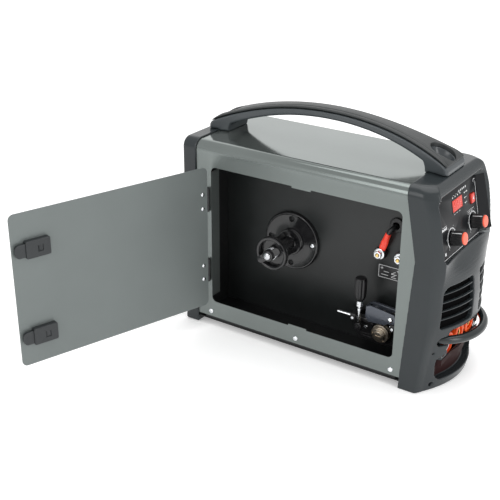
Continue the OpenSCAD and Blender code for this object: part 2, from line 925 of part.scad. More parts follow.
module door_rivets() {
    color(steel) as_opened() for (z = hinge_z, s = [-1, 1]) translate([-140, 0, z + s * 11]) {
        rod_y(door_in, door_in + 1.2, 3);
        rod_y(door_out - 2.2, door_out - 1.2, 3);
        rod_y(door_out - 1.2, door_in, 1.6);
    }
}

shank_x = 118;
module door_panel() {
    color(paint) as_opened() along_y(door_out, door_in) difference() {
        rounded([door_rear, door_bottom], [door_front, door_top], 8);
        for (z = hinge_z, s = [-1, 1]) translate([-140, z + s * 11]) circle(1.65);
        for (z = latch_z) translate([shank_x - 0.5, z - 5.5]) square([7 + latch_travel, 11]);
    }
}

module latch_housings() {
    color(dark_plastic) as_opened() for (z = latch_z) difference() {
        along_y(door_in, door_in + 8.5)
            rounded([latch_x, z - latch_h / 2], [latch_x + latch_l, z + latch_h / 2], 2.5);
        translate([latch_x + 2, door_in + 2, z - 9.9]) cube([latch_l, 4.2, 19.8]);
        translate([shank_x - 0.5, door_in - 1, z - 5.5]) cube([7 + latch_travel, 5, 11]);
    }
}

// sliding bolt: tongue in the housing, shank through the door, thumb pad outside
module latch_bolt(z) {
    as_opened() {
        along_y(door_in + 2.4, door_in + 5.9) {
            rounded([latch_x + 6, z - 9.5], [door_front - 3.2, z + 9.5], 6);
            translate([latch_x + 6, z - 9.5]) square([20, 19]);
        }
        translate([shank_x, door_out - 0.5, z - 5]) cube([6, door_in - door_out + 3, 10]);
        along_y(door_out - 3.5, door_out - 0.4)
            rounded([shank_x - 6, z - 10], [shank_x + 12, z + 10], 3);
    }
}
module latch_bolt_upper() { color(dark_plastic) latch_bolt(latch_z[1]); }
module latch_bolt_lower() { color(dark_plastic) latch_bolt(latch_z[0]); }

base_plate();
cover();
rear_panel();
rear_bezel();
front_bezel();
socket_panel();
partition();
case_screws();
handle_base();
handle_grip();
guard_bar();
torch_outlet();
socket_negative();
socket_positive();
control_panel();
display_window();
indicator_lamps();
control_board();
potentiometers();
knob_left();
knob_right();
mode_button();
hub_flange();
hub_axle();
brake_spring();
spool_hub();
hub_lock();
feeder_body();
compartment_screws();
wire_guides();
feed_motor();
drive_roll();
idler_roll();
pressure_arm();
tensioner();
tension_knob();
terminal_insulators();
terminal_studs();
terminal_nuts();
polarity_lead();
lug_sleeve();
cable_grommet();
terminal_label();
power_board();
heatsinks();
transformer();
output_choke();
fan_frame();
fan_rotor();
switch_frame();
power_rocker();
mains_gland();
gas_valve();
frame_hinges();
door_panel();
door_hinges();
door_rivets();
latch_housings();
latch_bolt_upper();
latch_bolt_lower();
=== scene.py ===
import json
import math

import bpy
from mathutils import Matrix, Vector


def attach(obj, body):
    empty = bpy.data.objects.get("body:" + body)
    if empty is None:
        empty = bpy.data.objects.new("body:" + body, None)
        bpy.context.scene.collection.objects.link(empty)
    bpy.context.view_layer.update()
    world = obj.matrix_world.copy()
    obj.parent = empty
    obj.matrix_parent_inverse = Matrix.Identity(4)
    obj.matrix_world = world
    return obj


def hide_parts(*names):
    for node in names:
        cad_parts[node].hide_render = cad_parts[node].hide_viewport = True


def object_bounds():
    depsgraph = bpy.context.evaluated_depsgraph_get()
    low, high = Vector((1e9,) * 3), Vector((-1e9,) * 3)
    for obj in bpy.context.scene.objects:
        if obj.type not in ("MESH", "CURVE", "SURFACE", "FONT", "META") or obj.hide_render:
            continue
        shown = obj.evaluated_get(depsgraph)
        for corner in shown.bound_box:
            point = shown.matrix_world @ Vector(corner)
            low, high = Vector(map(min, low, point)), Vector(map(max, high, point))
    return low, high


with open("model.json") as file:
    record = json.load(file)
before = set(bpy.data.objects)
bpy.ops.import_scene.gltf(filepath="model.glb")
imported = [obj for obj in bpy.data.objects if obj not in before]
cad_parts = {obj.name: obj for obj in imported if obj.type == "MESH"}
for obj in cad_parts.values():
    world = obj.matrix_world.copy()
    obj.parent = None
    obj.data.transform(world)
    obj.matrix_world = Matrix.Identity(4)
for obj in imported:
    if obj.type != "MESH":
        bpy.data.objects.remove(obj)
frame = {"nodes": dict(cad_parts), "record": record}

# %% [markdown]
# The imported model is a portable welding machine: a painted sheet cover on a
# base plate, two moulded bezels, an arched handle, a side door standing open
# and everything that sits in the wire compartment. Its boxes give the places
# of what follows. The CAD box is taken now and printed, because the looks
# must not change the size.

MM = 0.001
nodes = frame["nodes"]
cad_box = [list(corner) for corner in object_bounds()]
print("CAD box:", cad_box)

# %% [markdown]
# A product picture is taken with a longish lens from above the open side.
# The camera looks along a unit vector, and it is rolled by a third of a
# degree, as a camera on a tripod nearly always is.

# %% Camera
CAMERA_PLACE = Vector((0.6212, -1.1386, 0.7107))
LOOK = Vector((-0.5037, 0.7579, -0.4146)).normalized()
ROLL = math.radians(0.354)
FOCAL_LENGTH, SENSOR_WIDTH, CLIP_END = 69.53, 36, 30


def add_camera():
    side = LOOK.cross(Vector((0, 0, 1))).normalized()
    up = side.cross(LOOK).normalized()
    turned_side = side * math.cos(ROLL) + up * math.sin(ROLL)
    turned_up = up * math.cos(ROLL) - side * math.sin(ROLL)
    data = bpy.data.cameras.new("camera")
    data.lens, data.sensor_width, data.clip_end = FOCAL_LENGTH, SENSOR_WIDTH, CLIP_END
    camera = bpy.data.objects.new("camera", data)
    bpy.context.scene.collection.objects.link(camera)
    turn = Matrix((turned_side, turned_up, -LOOK)).transposed().to_4x4()
    camera.matrix_world = Matrix.Translation(CAMERA_PLACE) @ turn
    bpy.context.scene.camera = camera
    return camera


camera = add_camera()
print("camera at", tuple(camera.location))

# %% [markdown]
# The studio is a pale floor, a white world and four large soft lamps. One
# hangs over the machine, so that the paint of its top mirrors something
# bright, and a larger one stands behind it for the same reason. Another
# fills the open side, and a strip beside the front draws light lines on the
# moulded edges.

# %% Floor, world and lamps
FLOOR_SIZE, FLOOR_GAP = 14, 0.0005
WHITE = (1, 1, 1, 1)
WORLD_STRENGTH = 0.85
# The name, place, aim, size and power of each lamp
LAMPS = [("overhead", (0.1, 0.3, 1.9), (0, 0, 0.1), (1.8, 1.4), 14),
         ("side_fill", (-0.4, -2.2, 1.3), (0, 0, 0.15), (1.2, 1.2), 12),
         ("front_strip", (1.9, -0.5, 0.9), (0.1, 0, 0.15), (0.5, 1.5), 9),
         ("back_panel", (-1.5, 2.4, 1.9), (0, 0, 0.28), (2.6, 1.8), 9)]


def set_inputs(node, **values):
    """Give a node's inputs their values; an underscore stands for a space."""
    for key, value in values.items():
        node.inputs[key.replace("_", " ")].default_value = value


def add_floor():
    bpy.ops.mesh.primitive_plane_add(size=FLOOR_SIZE, location=(0, 0, cad_box[0][2] - FLOOR_GAP))
    floor = bpy.context.object
    floor.name = "studio_floor"
    material = bpy.data.materials.new("studio_floor")
    material.use_nodes = True
    set_inputs(material.node_tree.nodes["Principled BSDF"], Base_Color=(0.93, 0.93, 0.93, 1),
               Roughness=0.8, Emission_Color=WHITE, Emission_Strength=0.25)
    floor.data.materials.append(material)


def add_lamp(name, place, aim, size, power):
    data = bpy.data.lights.new(name, "AREA")
    data.shape = "RECTANGLE"
    data.size, data.size_y = size
    data.energy = power
    lamp = bpy.data.objects.new(name, data)
    bpy.context.scene.collection.objects.link(lamp)
    turn = (Vector(aim) - Vector(place)).to_track_quat("-Z", "Y")
    lamp.matrix_world = Matrix.Translation(place) @ turn.to_matrix().to_4x4()


def add_world():
    world = bpy.data.worlds.new("studio")
    world.use_nodes = True
    set_inputs(world.node_tree.nodes["Background"], Color=WHITE, Strength=WORLD_STRENGTH)
    bpy.context.scene.world = world


add_floor()
add_world()
for lamp in LAMPS:
    add_lamp(*lamp)
bpy.context.scene.view_settings.view_transform = "Standard"

# %% [markdown]
# Every finish is the same small net of nodes with other numbers. A coarse
# noise shifts the colour a little, as real paint and plastic are never one
# flat tone. A second noise moves the roughness, as hands and dust do, and a
# fine third one is the grain that the bump shows. They all read Object
# coordinates in metres, so the grain keeps its real size on every piece.

# %% The net of nodes that every finish shares
CLOUD_SCALE = 14
SMEAR_SCALE = 55
finishes = {}


def add_node(tree, kind, place, **values):
    node = tree.nodes.new(kind)
    node.location = place
    set_inputs(node, **values)
    return node


def join(source, output, node, socket):
    source.id_data.links.new(source.outputs[output], node.inputs[socket])


def make_finish(name, colour, roughness, metallic=0.0, coat=0.0, shift=0.12, smear=0.06,
                grain=900, depth=0.02, glow=0.0, ior=1.5, stretch=(1, 1, 1)):
    material = bpy.data.materials.new(name)
    material.use_nodes = True
    tree = material.node_tree
    shader = tree.nodes["Principled BSDF"]
    set_inputs(shader, Metallic=metallic, IOR=ior, Coat_Weight=coat, Coat_Roughness=0.08)
    if glow:
        set_inputs(shader, Emission_Color=(*colour, 1), Emission_Strength=glow)
    place = add_node(tree, "ShaderNodeTexCoord", (-1000, 0))
    scaled = add_node(tree, "ShaderNodeMapping", (-820, 0), Scale=stretch)
    join(place, "Object", scaled, "Vector")
    cloud = add_node(tree, "ShaderNodeTexNoise", (-600, 250), Scale=CLOUD_SCALE, Detail=3.0)
    smears = add_node(tree, "ShaderNodeTexNoise", (-600, 0), Scale=SMEAR_SCALE, Detail=4.0)
    grains = add_node(tree, "ShaderNodeTexNoise", (-600, -250), Scale=grain, Detail=2.0)
    for noise in (cloud, smears, grains):
        join(scaled, "Vector", noise, "Vector")
    tones = add_node(tree, "ShaderNodeValToRGB", (-380, 250))
    for stop, position, change in zip(tones.color_ramp.elements, (0.3, 0.7), (1 - shift, 1 + shift)):
        stop.position = position
        stop.color = (*[min(1, c * change) for c in colour], 1)
    join(cloud, "Fac", tones, "Fac")
    join(tones, "Color", shader, "Base Color")
    dull = add_node(tree, "ShaderNodeMapRange", (-380, 0), To_Min=max(0.02, roughness - smear),
                    To_Max=min(1, roughness + smear))
    join(smears, "Fac", dull, "Value")
    join(dull, "Result", shader, "Roughness")
    bump = add_node(tree, "ShaderNodeBump", (-200, -250), Strength=min(1, depth * 10), Distance=0.0002)
    join(grains, "Fac", bump, "Height")
    join(bump, "Normal", shader, "Normal")
    finishes[name] = material


# %% [markdown]
# The cover's grey metallic paint mirrors the handle above it nearly as
# sharply as a car's panel, so its roughness is low and most of its light is
# reflection. The door is coated duller. The mouldings are a dark grey plastic
# with a fine spark-eroded grain, and the metal pieces differ in colour and
# gloss.

# %% Finishes
make_finish("cover_paint", (0.185, 0.207, 0.2), 0.15, metallic=0.78, shift=0.03, smear=0.02,
            grain=1400, depth=0.004)
make_finish("door_paint", (0.15, 0.17, 0.166), 0.36, metallic=0.25, shift=0.03, smear=0.04,
            grain=1400, depth=0.01)
make_finish("black_sheet", (0.0095, 0.01, 0.0105), 0.36, shift=0.2, grain=1500, depth=0.02, ior=1.4)
# A lighter copy of the black sheet for the partition: painted light where the lamps fall on it.
make_finish("black_sheet_painted_lit", (0.0145, 0.0165, 0.0165), 0.34, shift=0.2, grain=1500, depth=0.02, ior=1.45)
make_finish("bezel_plastic", (0.0205, 0.0255, 0.028), 0.24, shift=0.06, grain=1700, depth=0.02, ior=1.42)
# A light grey for a thin strip below the panel: a painted highlight on the ledge's edge.
make_finish("highlight_grey", (0.2, 0.215, 0.22), 0.25, shift=0.05, grain=1700, depth=0.01)
# A matte black that stands for the shade behind the vent slats: painted shade.
make_finish("vent_shade_black", (0.0025, 0.0025, 0.0027), 0.85, shift=0.1, grain=1200, depth=0.01, ior=1.1)
make_finish("handle_plastic", (0.05, 0.058, 0.063), 0.22, shift=0.06, grain=1500, depth=0.02)
make_finish("grip_plastic", (0.02, 0.0235, 0.024), 0.4, shift=0.08, grain=1300, depth=0.05)
make_finish("bar_plastic", (0.014, 0.018, 0.019), 0.2, shift=0.08, grain=1200, depth=0.03)
make_finish("bright_screws", (0.8, 0.82, 0.84), 0.2, metallic=1, shift=0.04, grain=2600, depth=0.02)
make_finish("bright_steel", (0.62, 0.63, 0.65), 0.24, metallic=1, shift=0.06, grain=2200, depth=0.03)
make_finish("socket_orange", (0.8, 0.085, 0.01), 0.42, ior=1.3, shift=0.08, grain=1200, depth=0.02)
make_finish("panel_face", (0.009, 0.01, 0.0115), 0.3, shift=0.1, grain=1800, depth=0.01, ior=1.25)
# Light grey for print. The panel's edge lines drawn in it are painted highlights.
make_finish("print_and_painted_highlight", (0.72, 0.73, 0.74), 0.5, shift=0.03, grain=2000, depth=0.01)
make_finish("display_red", (0.6, 0.045, 0.03), 0.2, shift=0.03, grain=900, depth=0.0, glow=0.1, ior=1.3)
make_finish("display_bars", (0.7, 0.08, 0.055), 0.3, shift=0.02, glow=0.12)
make_finish("lamp_white", (0.8, 0.8, 0.78), 0.2, shift=0.03)
make_finish("circuit_board", (0.02, 0.12, 0.05), 0.35, shift=0.2, grain=700, depth=0.05)
make_finish("knob_black", (0.012, 0.012, 0.013), 0.42, shift=0.15, grain=1400, depth=0.04)
# The knob caps glow a little although they are no lamps: painted light.
make_finish("knob_cap_painted_glow", (0.9, 0.115, 0.055), 0.32, shift=0.04, grain=1400, depth=0.02, glow=0.08)
make_finish("button_red", (0.7, 0.05, 0.032), 0.3, shift=0.05, coat=0.2)
make_finish("hub_black", (0.011, 0.011, 0.012), 0.2, coat=0.3, shift=0.2, grain=700, depth=0.02)
make_finish("feeder_black", (0.013, 0.013, 0.014), 0.34, shift=0.2, grain=1100, depth=0.05)
make_finish("motor_steel", (0.35, 0.35, 0.37), 0.35, metallic=1, shift=0.1, grain=1600, depth=0.05)
make_finish("roll_steel", (0.5, 0.44, 0.36), 0.36, metallic=1, shift=0.12, grain=2500, depth=0.08)
make_finish("arm_metal", (0.075, 0.085, 0.105), 0.26, metallic=0.3, coat=0.3, shift=0.08)
make_finish("brass", (0.78, 0.55, 0.2), 0.24, metallic=1, shift=0.08, grain=1800, depth=0.03)
make_finish("lead_black", (0.012, 0.012, 0.013), 0.42, shift=0.2, grain=900, depth=0.05)
# The red sleeve glows a little although it is no lamp: painted light.
make_finish("sleeve_red", (0.88, 0.055, 0.028), 0.3, coat=0.2, shift=0.04, glow=0.12)
make_finish("label_black", (0.014, 0.014, 0.015), 0.35, shift=0.1)
make_finish("heatsink_aluminium", (0.62, 0.63, 0.64), 0.32, metallic=1, shift=0.05,
            grain=400, depth=0.08, stretch=(0.05, 1, 1))
make_finish("core_iron", (0.1, 0.07, 0.05), 0.5, shift=0.25, grain=500, depth=0.2,
            stretch=(1, 0.05, 1))
make_finish("copper_winding", (0.42, 0.14, 0.05), 0.25, metallic=0.6, coat=0.5, shift=0.15,
            grain=350, depth=0.3, stretch=(0.1, 0.1, 3))
make_finish("fan_black", (0.015, 0.015, 0.016), 0.4, shift=0.15, grain=1200, depth=0.04)
make_finish("gland_black", (0.016, 0.016, 0.017), 0.4, shift=0.15, grain=1200, depth=0.04)
make_finish("hinge_black", (0.012, 0.012, 0.013), 0.32, shift=0.15, grain=1500, depth=0.04)
make_finish("latch_plastic", (0.016, 0.019, 0.021), 0.42, shift=0.1, grain=1400, depth=0.05)
# Dark maroon for the back of the lower mouth: painted shade, tinted red by a painted reflection of the orange
# sockets.
make_finish("recess_shade_maroon", (0.022, 0.008, 0.008), 0.62, shift=0.1, grain=1500, depth=0.02, ior=1.2)


def dull_below(name, low, high, dull, gloss):
    """The sides of a case are handled and scuffed, so their paint is duller than the top's."""
    tree = finishes[name].node_tree
    place = add_node(tree, "ShaderNodeTexCoord", (-800, -500))
    split = add_node(tree, "ShaderNodeSeparateXYZ", (-600, -500))
    height = add_node(tree, "ShaderNodeMapRange", (-380, -500), From_Min=low * MM, From_Max=high * MM,
                      To_Min=dull, To_Max=gloss)
    join(place, "Object", split, "Vector")
    join(split, "Z", height, "Value")
    join(height, "Result", tree.nodes["Principled BSDF"], "Roughness")


dull_below("cover_paint", 262, 281, 0.36, 0.1)
print(len(finishes), "finishes")

# %% [markdown]
# A CAD node whose shape is already right keeps it and only gets its finish.
# The imported record says which material slot each node has, so one loop
# paints them all, and the pieces made later replace some of them.

# %% Paint the CAD nodes
# The partition takes the lighter copy of the black sheet, which is painted light.
REPAINTED = {"door_panel": "door_paint", "partition": "black_sheet_painted_lit"}
node_slots = {part["node"]: part["material_slot"] for part in frame["record"]["subparts"]}
for node_name, slot_name in node_slots.items():
    mesh = nodes[node_name].data
    mesh.materials.clear()
    mesh.materials.append(finishes[REPAINTED.get(node_name, slot_name)])
print(len(node_slots), "nodes painted")


# %% [markdown]
# The new pieces are modelled as by hand: a primitive is added at its size
# and place, shaped in edit mode, and finished with modifiers that are
# applied. Lengths are in millimetres, as on a drawing, and become metres
# inside these tools. Every finished piece lies at the origin, unturned, so
# the grain of its material has the same scale as its neighbour's.

# %% Hand tools
MOST_TRIANGLES = 190000


def only(piece):
    bpy.ops.object.select_all(action="DESELECT")
    piece.select_set(True)
    bpy.context.view_layer.objects.active = piece
    return piece


def named(name):
    piece = bpy.context.object
    piece.name = name
    piece.data.name = name
    return piece


def settle(piece):
    only(piece)
    bpy.ops.object.transform_apply(location=True, rotation=True, scale=True)
    return piece


def modify(piece, kind, **values):
    only(piece)
    bpy.ops.object.modifier_add(type=kind)
    modifier = piece.modifiers[-1]
    for key, value in values.items():
        setattr(modifier, key, value)
    bpy.ops.object.modifier_apply(modifier=modifier.name)
    return piece


def close_up(piece):
    only(piece)
    bpy.ops.object.mode_set(mode="EDIT")
    bpy.ops.mesh.select_all(action="SELECT")
    bpy.ops.mesh.remove_doubles(threshold=0.000002)
    bpy.ops.mesh.fill_holes(sides=0)
    bpy.ops.mesh.select_all(action="SELECT")
    bpy.ops.mesh.normals_make_consistent(inside=False)
    bpy.ops.object.mode_set(mode="OBJECT")
    return piece


def soften(piece, width, segments=3, angle=40):
    modify(piece, "BEVEL", width=width * MM, segments=segments, limit_method="ANGLE",
           angle_limit=math.radians(angle))
    return smoothed(piece)


def smoothed(piece, angle=38):
    only(piece)
    bpy.ops.object.shade_smooth_by_angle(angle=math.radians(angle))
    return piece


def block(name, low, high, edge=0.0):
    bpy.ops.object.select_all(action="DESELECT")
    middle = [(a + b) / 2 * MM for a, b in zip(low, high)]
    bpy.ops.mesh.primitive_cube_add(size=1, location=middle)
    piece = named(name)
    piece.scale = [(b - a) * MM for a, b in zip(low, high)]
    settle(piece)
    return soften(piece, edge) if edge else piece


def rod(name, start, end, radius, end_radius=None, sides=48, edge=0.0):
    bpy.ops.object.select_all(action="DESELECT")
    start, end = Vector(start) * MM, Vector(end) * MM
    bpy.ops.mesh.primitive_cone_add(
        vertices=sides, depth=(end - start).length, location=(start + end) / 2,
        radius1=radius * MM, radius2=(radius if end_radius is None else end_radius) * MM,
        rotation=(end - start).to_track_quat("Z", "Y").to_euler())
    piece = settle(named(name))
    return soften(piece, edge) if edge else smoothed(piece)


def sheet(name, columns, rows, place):
    bpy.ops.object.select_all(action="DESELECT")
    bpy.ops.mesh.primitive_grid_add(x_subdivisions=columns, y_subdivisions=rows, size=1)
    piece = named(name)
    for vertex in piece.data.vertices:
        across = round((vertex.co.x + 0.5) * columns)
        along = round((vertex.co.y + 0.5) * rows)
        vertex.co = Vector(place(across, along)) * MM
    return close_up(piece)


def at(axis, distance, a, b):
    return {"x": (distance, a, b), "y": (a, distance, b), "z": (a, b, distance)}[axis]


def loft(name, stages, axis="x"):
    count = len(stages[0][1])

    def place(across, along):
        distance, outline = stages[along]
        return at(axis, distance, *outline[across % count])

    return sheet(name, count, len(stages) - 1, place)


def prism(name, outline, low, high, axis="x"):
    return loft(name, [(low, outline), (high, outline)], axis)


def cut_rod(axis, low, high, a, b, radius):
    return rod("cut", at(axis, low, a, b), at(axis, high, a, b), radius)


def facing(start, towards):
    turn = Vector(towards).to_track_quat("Z", "Y").to_matrix().to_4x4()
    return Matrix.Translation(Vector(start) * MM) @ turn


def turned(name, outline, start, towards, steps=72):
    bpy.ops.object.select_all(action="DESELECT")
    bpy.ops.mesh.primitive_plane_add(size=0.01)
    piece = named(name)
    bpy.ops.object.mode_set(mode="EDIT")
    bpy.ops.mesh.select_all(action="SELECT")
    bpy.ops.mesh.merge(type="CENTER")
    radius, distance = outline[0]
    bpy.ops.transform.translate(value=(radius * MM, 0, distance * MM))
    for (r0, d0), (r1, d1) in zip(outline, outline[1:]):
        bpy.ops.mesh.extrude_vertices_move(
            TRANSFORM_OT_translate={"value": ((r1 - r0) * MM, 0, (d1 - d0) * MM)})
    bpy.ops.mesh.select_all(action="SELECT")
    bpy.ops.mesh.spin(steps=steps, angle=math.tau, center=(0, 0, 0), axis=(0, 0, 1))
    bpy.ops.object.mode_set(mode="OBJECT")
    close_up(piece)
    return smoothed(placed(piece, facing(start, towards)))


def placed(piece, matrix):
    piece.matrix_world = matrix @ piece.matrix_world
    return settle(piece)


def again(piece, name, matrix):
    only(piece)
    bpy.ops.object.duplicate(linked=False)
    return placed(named(name), matrix)


def about(point, axis, degrees):
    place = Matrix.Translation(Vector(point) * MM)
    return place @ Matrix.Rotation(math.radians(degrees), 4, axis) @ place.inverted()


def shift(x=0, y=0, z=0):
    return Matrix.Translation(Vector((x, y, z)) * MM)


def subtract(piece, *tools):
    for tool in tools:
        modify(piece, "BOOLEAN", operation="DIFFERENCE", solver="EXACT", object=tool)
        bpy.data.objects.remove(tool)
    return piece


def merge(name, *parts):
    only(parts[0])
    for part in parts:
        part.select_set(True)
    bpy.ops.object.join()
    return named(name)


def mould(piece, voxel, passes, most=MOST_TRIANGLES):
    modify(piece, "REMESH", mode="VOXEL", voxel_size=voxel * MM)
    modify(piece, "SMOOTH", factor=0.5, iterations=passes)
    triangles = 2 * len(piece.data.polygons)
    if triangles > most:
        modify(piece, "DECIMATE", ratio=most / triangles)
    only(piece)
    bpy.ops.object.shade_smooth()
    return piece


def finish(piece, slot, body="case", stands_for=()):
    piece.data.materials.clear()
    piece.data.materials.append(finishes[slot])
    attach(piece, body)
    if stands_for:
        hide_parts(*stands_for)
    return piece


def rounded(low, high, radii, steps=6):
    """Outline of a rounded rectangle, counter-clockwise from its low corner."""
    if not isinstance(radii, (list, tuple)):
        radii = [radii] * 4
    corners = [(low[0], low[1], 1, 1, 180), (high[0], low[1], -1, 1, 270),
               (high[0], high[1], -1, -1, 0), (low[0], high[1], 1, -1, 90)]
    outline = []
    for (a, b, across, up, begin), r in zip(corners, radii):
        for i in range(steps + 1):
            turn = math.radians(begin + 90 * i / steps)
            outline.append((a + across * r + r * math.cos(turn), b + up * r + r * math.sin(turn)))
    return outline


def arch(half, low, high, radius):
    return rounded((-half, low), (half, high), [0.01, 0.01, radius, radius], steps=10)


print("hand tools ready")

# %% [markdown]
# The front bezel is one injection moulding, 174 mm wide and 294 mm high. Its
# form is a bulging shell: the side edge, the depth of the corner, the middle
# of the front and the rear edge each follow a line up the height. The front
# is a shallow arch between two corners that are partly bevel, partly round.
# A grid of points bent round that form gives an even skin, which stacked
# primitives could not give. Then the openings are cut, and a voxel remesh
# with a little smoothing rounds every edge, as a steel mould does.

# %% Front bezel
EDGE_LINE = [(-10, 190), (16, 192.5), (52, 197), (72, 199.5), (95, 200.5), (130, 199),
             (165, 199), (187, 196.5), (226, 191), (252, 185), (284, 174)]
CORNER_LINE = [(-10, 8), (72, 9), (95, 11), (130, 13), (150, 14), (165, 16), (187, 19),
               (226, 20), (252, 21), (284, 20)]
CENTRE_LINE = [(-10, 221.5), (0, 224.5), (27, 229.5), (40, 232), (58, 233.5), (120, 233.5),
               (150, 230), (165, 224), (174, 217), (182, 210), (190, 208), (226, 203),
               (257, 201.5), (270, 199), (284, 192)]
REAR_LINE = [(-10, 166), (7, 166.5), (184, 176), (269, 159), (284, 157)]
HALF_WIDTH = 87
CHEEK = 76
CORNER_REACH = HALF_WIDTH - CHEEK
SIDE_TURN, SIDE_RADIUS = 269, 15
TOP_TURN, TOP_RADIUS = 276, 8
CASE_VOXEL, CASE_PASSES = 0.95, 4
PANEL_TILT = 12
panel_turn = Matrix.Translation((0.203, 0, 0.205)) @ Matrix.Rotation(math.radians(-PANEL_TILT), 4, "Y")


def on_line(line, z):
    for (z0, a), (z1, b) in zip(line, line[1:]):
        if z <= z1:
            return a + (b - a) * (z - z0) / (z1 - z0)
    return line[-1][1]


def eased(line, z):
    near = [min(max(z + step, line[0][0]), line[-1][0]) for step in (-6, -3, 0, 3, 6)]
    return sum(on_line(line, height) for height in near) / 5


def front_x(y, z):
    edge, corner, centre = (eased(line, z) for line in (EDGE_LINE, CORNER_LINE, CENTRE_LINE))
    if abs(y) <= CHEEK:
        cheek = edge + corner
        return cheek + (centre - cheek) * (1 - (y / CHEEK) ** 2)
    out = min(1, (abs(y) - CHEEK) / CORNER_REACH)
    return edge + corner * (0.6 * (1 - out) + 0.4 * math.sqrt(1 - out ** 2))


def turn_in(beyond, radius):
    """How far a round edge has drawn in, this far beyond the start of its bend."""
    return radius - math.sqrt(max(0, radius ** 2 - max(0, beyond) ** 2))


def front_shell():
    heights = [-10 + 279 * i / 62 for i in range(63)] + [271, 273.5]
    heights += [TOP_TURN + TOP_RADIUS * math.sin(math.pi / 2 * i / 8) for i in range(9)]
    corner = [CHEEK + CORNER_REACH * math.cos(math.pi / 2 * i / 7) for i in range(7)]
    middle = [CHEEK - 4 * i for i in range(39)]
    loop = [(-HALF_WIDTH, share) for share in (0, 0.33, 0.66)]
    loop += [(-y, 1) for y in corner + middle] + [(y, 1) for y in reversed(corner)]
    loop += [(HALF_WIDTH, share) for share in (0.66, 0.33, 0)]

    def place(across, along):
        z = heights[along]
        y, share = loop[across % len(loop)]
        narrow = 1 - turn_in(z - SIDE_TURN, SIDE_RADIUS) / HALF_WIDTH
        rear = on_line(REAR_LINE, z)
        depth = front_x(y, z) - turn_in(z - TOP_TURN, TOP_RADIUS) - rear
        return rear + depth * share, y * narrow, z

    return sheet("front_bezel_skin", len(loop), len(heights) - 1, place)


def slab(name, half, low, high, front, back, columns=40, rows=12):
    """A plate between two curved faces; its lower and upper edges depend on y."""

    def place(across, along):
        y = half * (2 * across / columns - 1)
        step = along % (2 * rows + 2)
        share = step / rows if step <= rows else (2 * rows + 1 - step) / rows
        z = low(y) + (high(y) - low(y)) * share
        return (front if step <= rows else back)(y, z), y, z

    return sheet(name, columns, 2 * rows + 2, place)


def lip_low(y):
    return 3 + 1.75 * turn_in(abs(y) - 51, 15)


def lip_high(y):
    return 50 - 0.55 * max(0, abs(y) - 47)


def lip_floor(y, z):
    return max(front_x(y, z) - 13, 203 if z < 27 else 205 if y < -59.5 else 214.6)


def front_cutters():
    yield prism("cut", arch(85.15, 1.5, 282.15, 14.15), 149, 180.3)
    yield block("cut", (149, -85.15, -0.3), (165.8, 85.15, 3))
    yield prism("cut", arch(80, 1.6, 278, 10), 180, 188)
    yield prism("cut", arch(74, 36, 168, 10), 187, 203)
    yield prism("cut", arch(56, 40, 160, 8), 202, 214)
    pocket = [(-2.2, rounded((-73, -23), (58, 64), 9)), (0.2, rounded((-73, -23), (58, 64), 9)),
              (12, rounded((-81, -25), (73, 66), 11)), (60, rounded((-113, -36), (133, 74), 13))]
    yield placed(loft("cut", pocket), panel_turn)
    yield placed(prism("cut", rounded((-64, -19), (50, 51.4), 6), -22, -1), panel_turn)
    yield prism("cut", rounded((-72, 88), (-10.5, 150), [5, 5, 5, 11]), 196, 240)
    yield prism("cut", rounded((10.5, 88), (72, 150), [5, 5, 11, 5]), 196, 240)
    yield prism("cut", rounded((-55, 37), (56, 82), [22, 6, 6, 6]), 186, 240)
    yield prism("cut", rounded((-58, 28.5), (66, 84), 6), 187, 213.5)
    yield prism("cut", rounded((-70.5, 60.6), (70.5, 73.4), 6.2), 200, 240)
    yield slab("cut", 66, lip_low, lip_high, lambda y, z: 245, lip_floor)
    for side in (-1, 1):
        yield cut_rod("x", 186, 240, side * 60, 67, 5.7)
        yield cut_rod("x", 180, 240, side * 65, -1, 3.4)
        yield cut_rod("x", 196, 240, side * 72, 51, 1.8)
    yield cut_rod("z", 270, 290, 163, 0, 2.9)


front_bezel = subtract(front_shell(), *front_cutters())
mould(front_bezel, CASE_VOXEL, CASE_PASSES)
finish(front_bezel, "bezel_plastic", stands_for=["front_bezel"])
print("front bezel", len(front_bezel.data.polygons), "faces")

# %% [markdown]
# Four slats cross each cooling vent. The mould leaves them as thin fins that
# follow the bulge of the front, so each is swept across the opening about a
# millimetre behind the skin. A matte black sheet of painted shade follows the
# same curve close behind them, so the inside of the case is never seen
# through them. A second curved plate lines the back of the lower mouth: dark
# maroon painted shade, tinted by a painted reflection of the orange sockets.

# %% Vent slats and the painted shade behind the openings
SLAT_HEIGHTS = (102.5, 115, 127.5, 140)
SLAT_INSET = 1.2
def slat(name, low, high, z):
    section = [(0, -0.55), (0, 0.55), (-0.7, 0.85), (-3.6, 0.85), (-3.6, -0.85), (-0.7, -0.85)]

    def place(across, along):
        y = low + (high - low) * across / 24
        dx, dz = section[along % 6]
        return front_x(y, z) - SLAT_INSET + dx, y, z + dz

    return smoothed(sheet(name, 24, 6, place), 30)


# A dark sheet of painted shade, close behind the vent slats.
def baffle(name, low, high, bottom, top):
    def place(across, along):
        y = low + (high - low) * across / 20
        step = along % 26
        z = bottom + (top - bottom) * (step if step < 13 else 25 - step) / 12
        return front_x(y, z) - (6 if step < 13 else 8), y, z

    return smoothed(sheet(name, 20, 26, place))


slats = []
for side in (-1, 1):
    low, high = sorted((side * 10.2, side * 72.3))
    slats += [slat("slat", low, high, z) for z in SLAT_HEIGHTS]
    finish(baffle("vent_shade_sheet", low, high, 87.6, 150.4), "vent_shade_black")
finish(merge("vent_slats", *slats), "bezel_plastic")
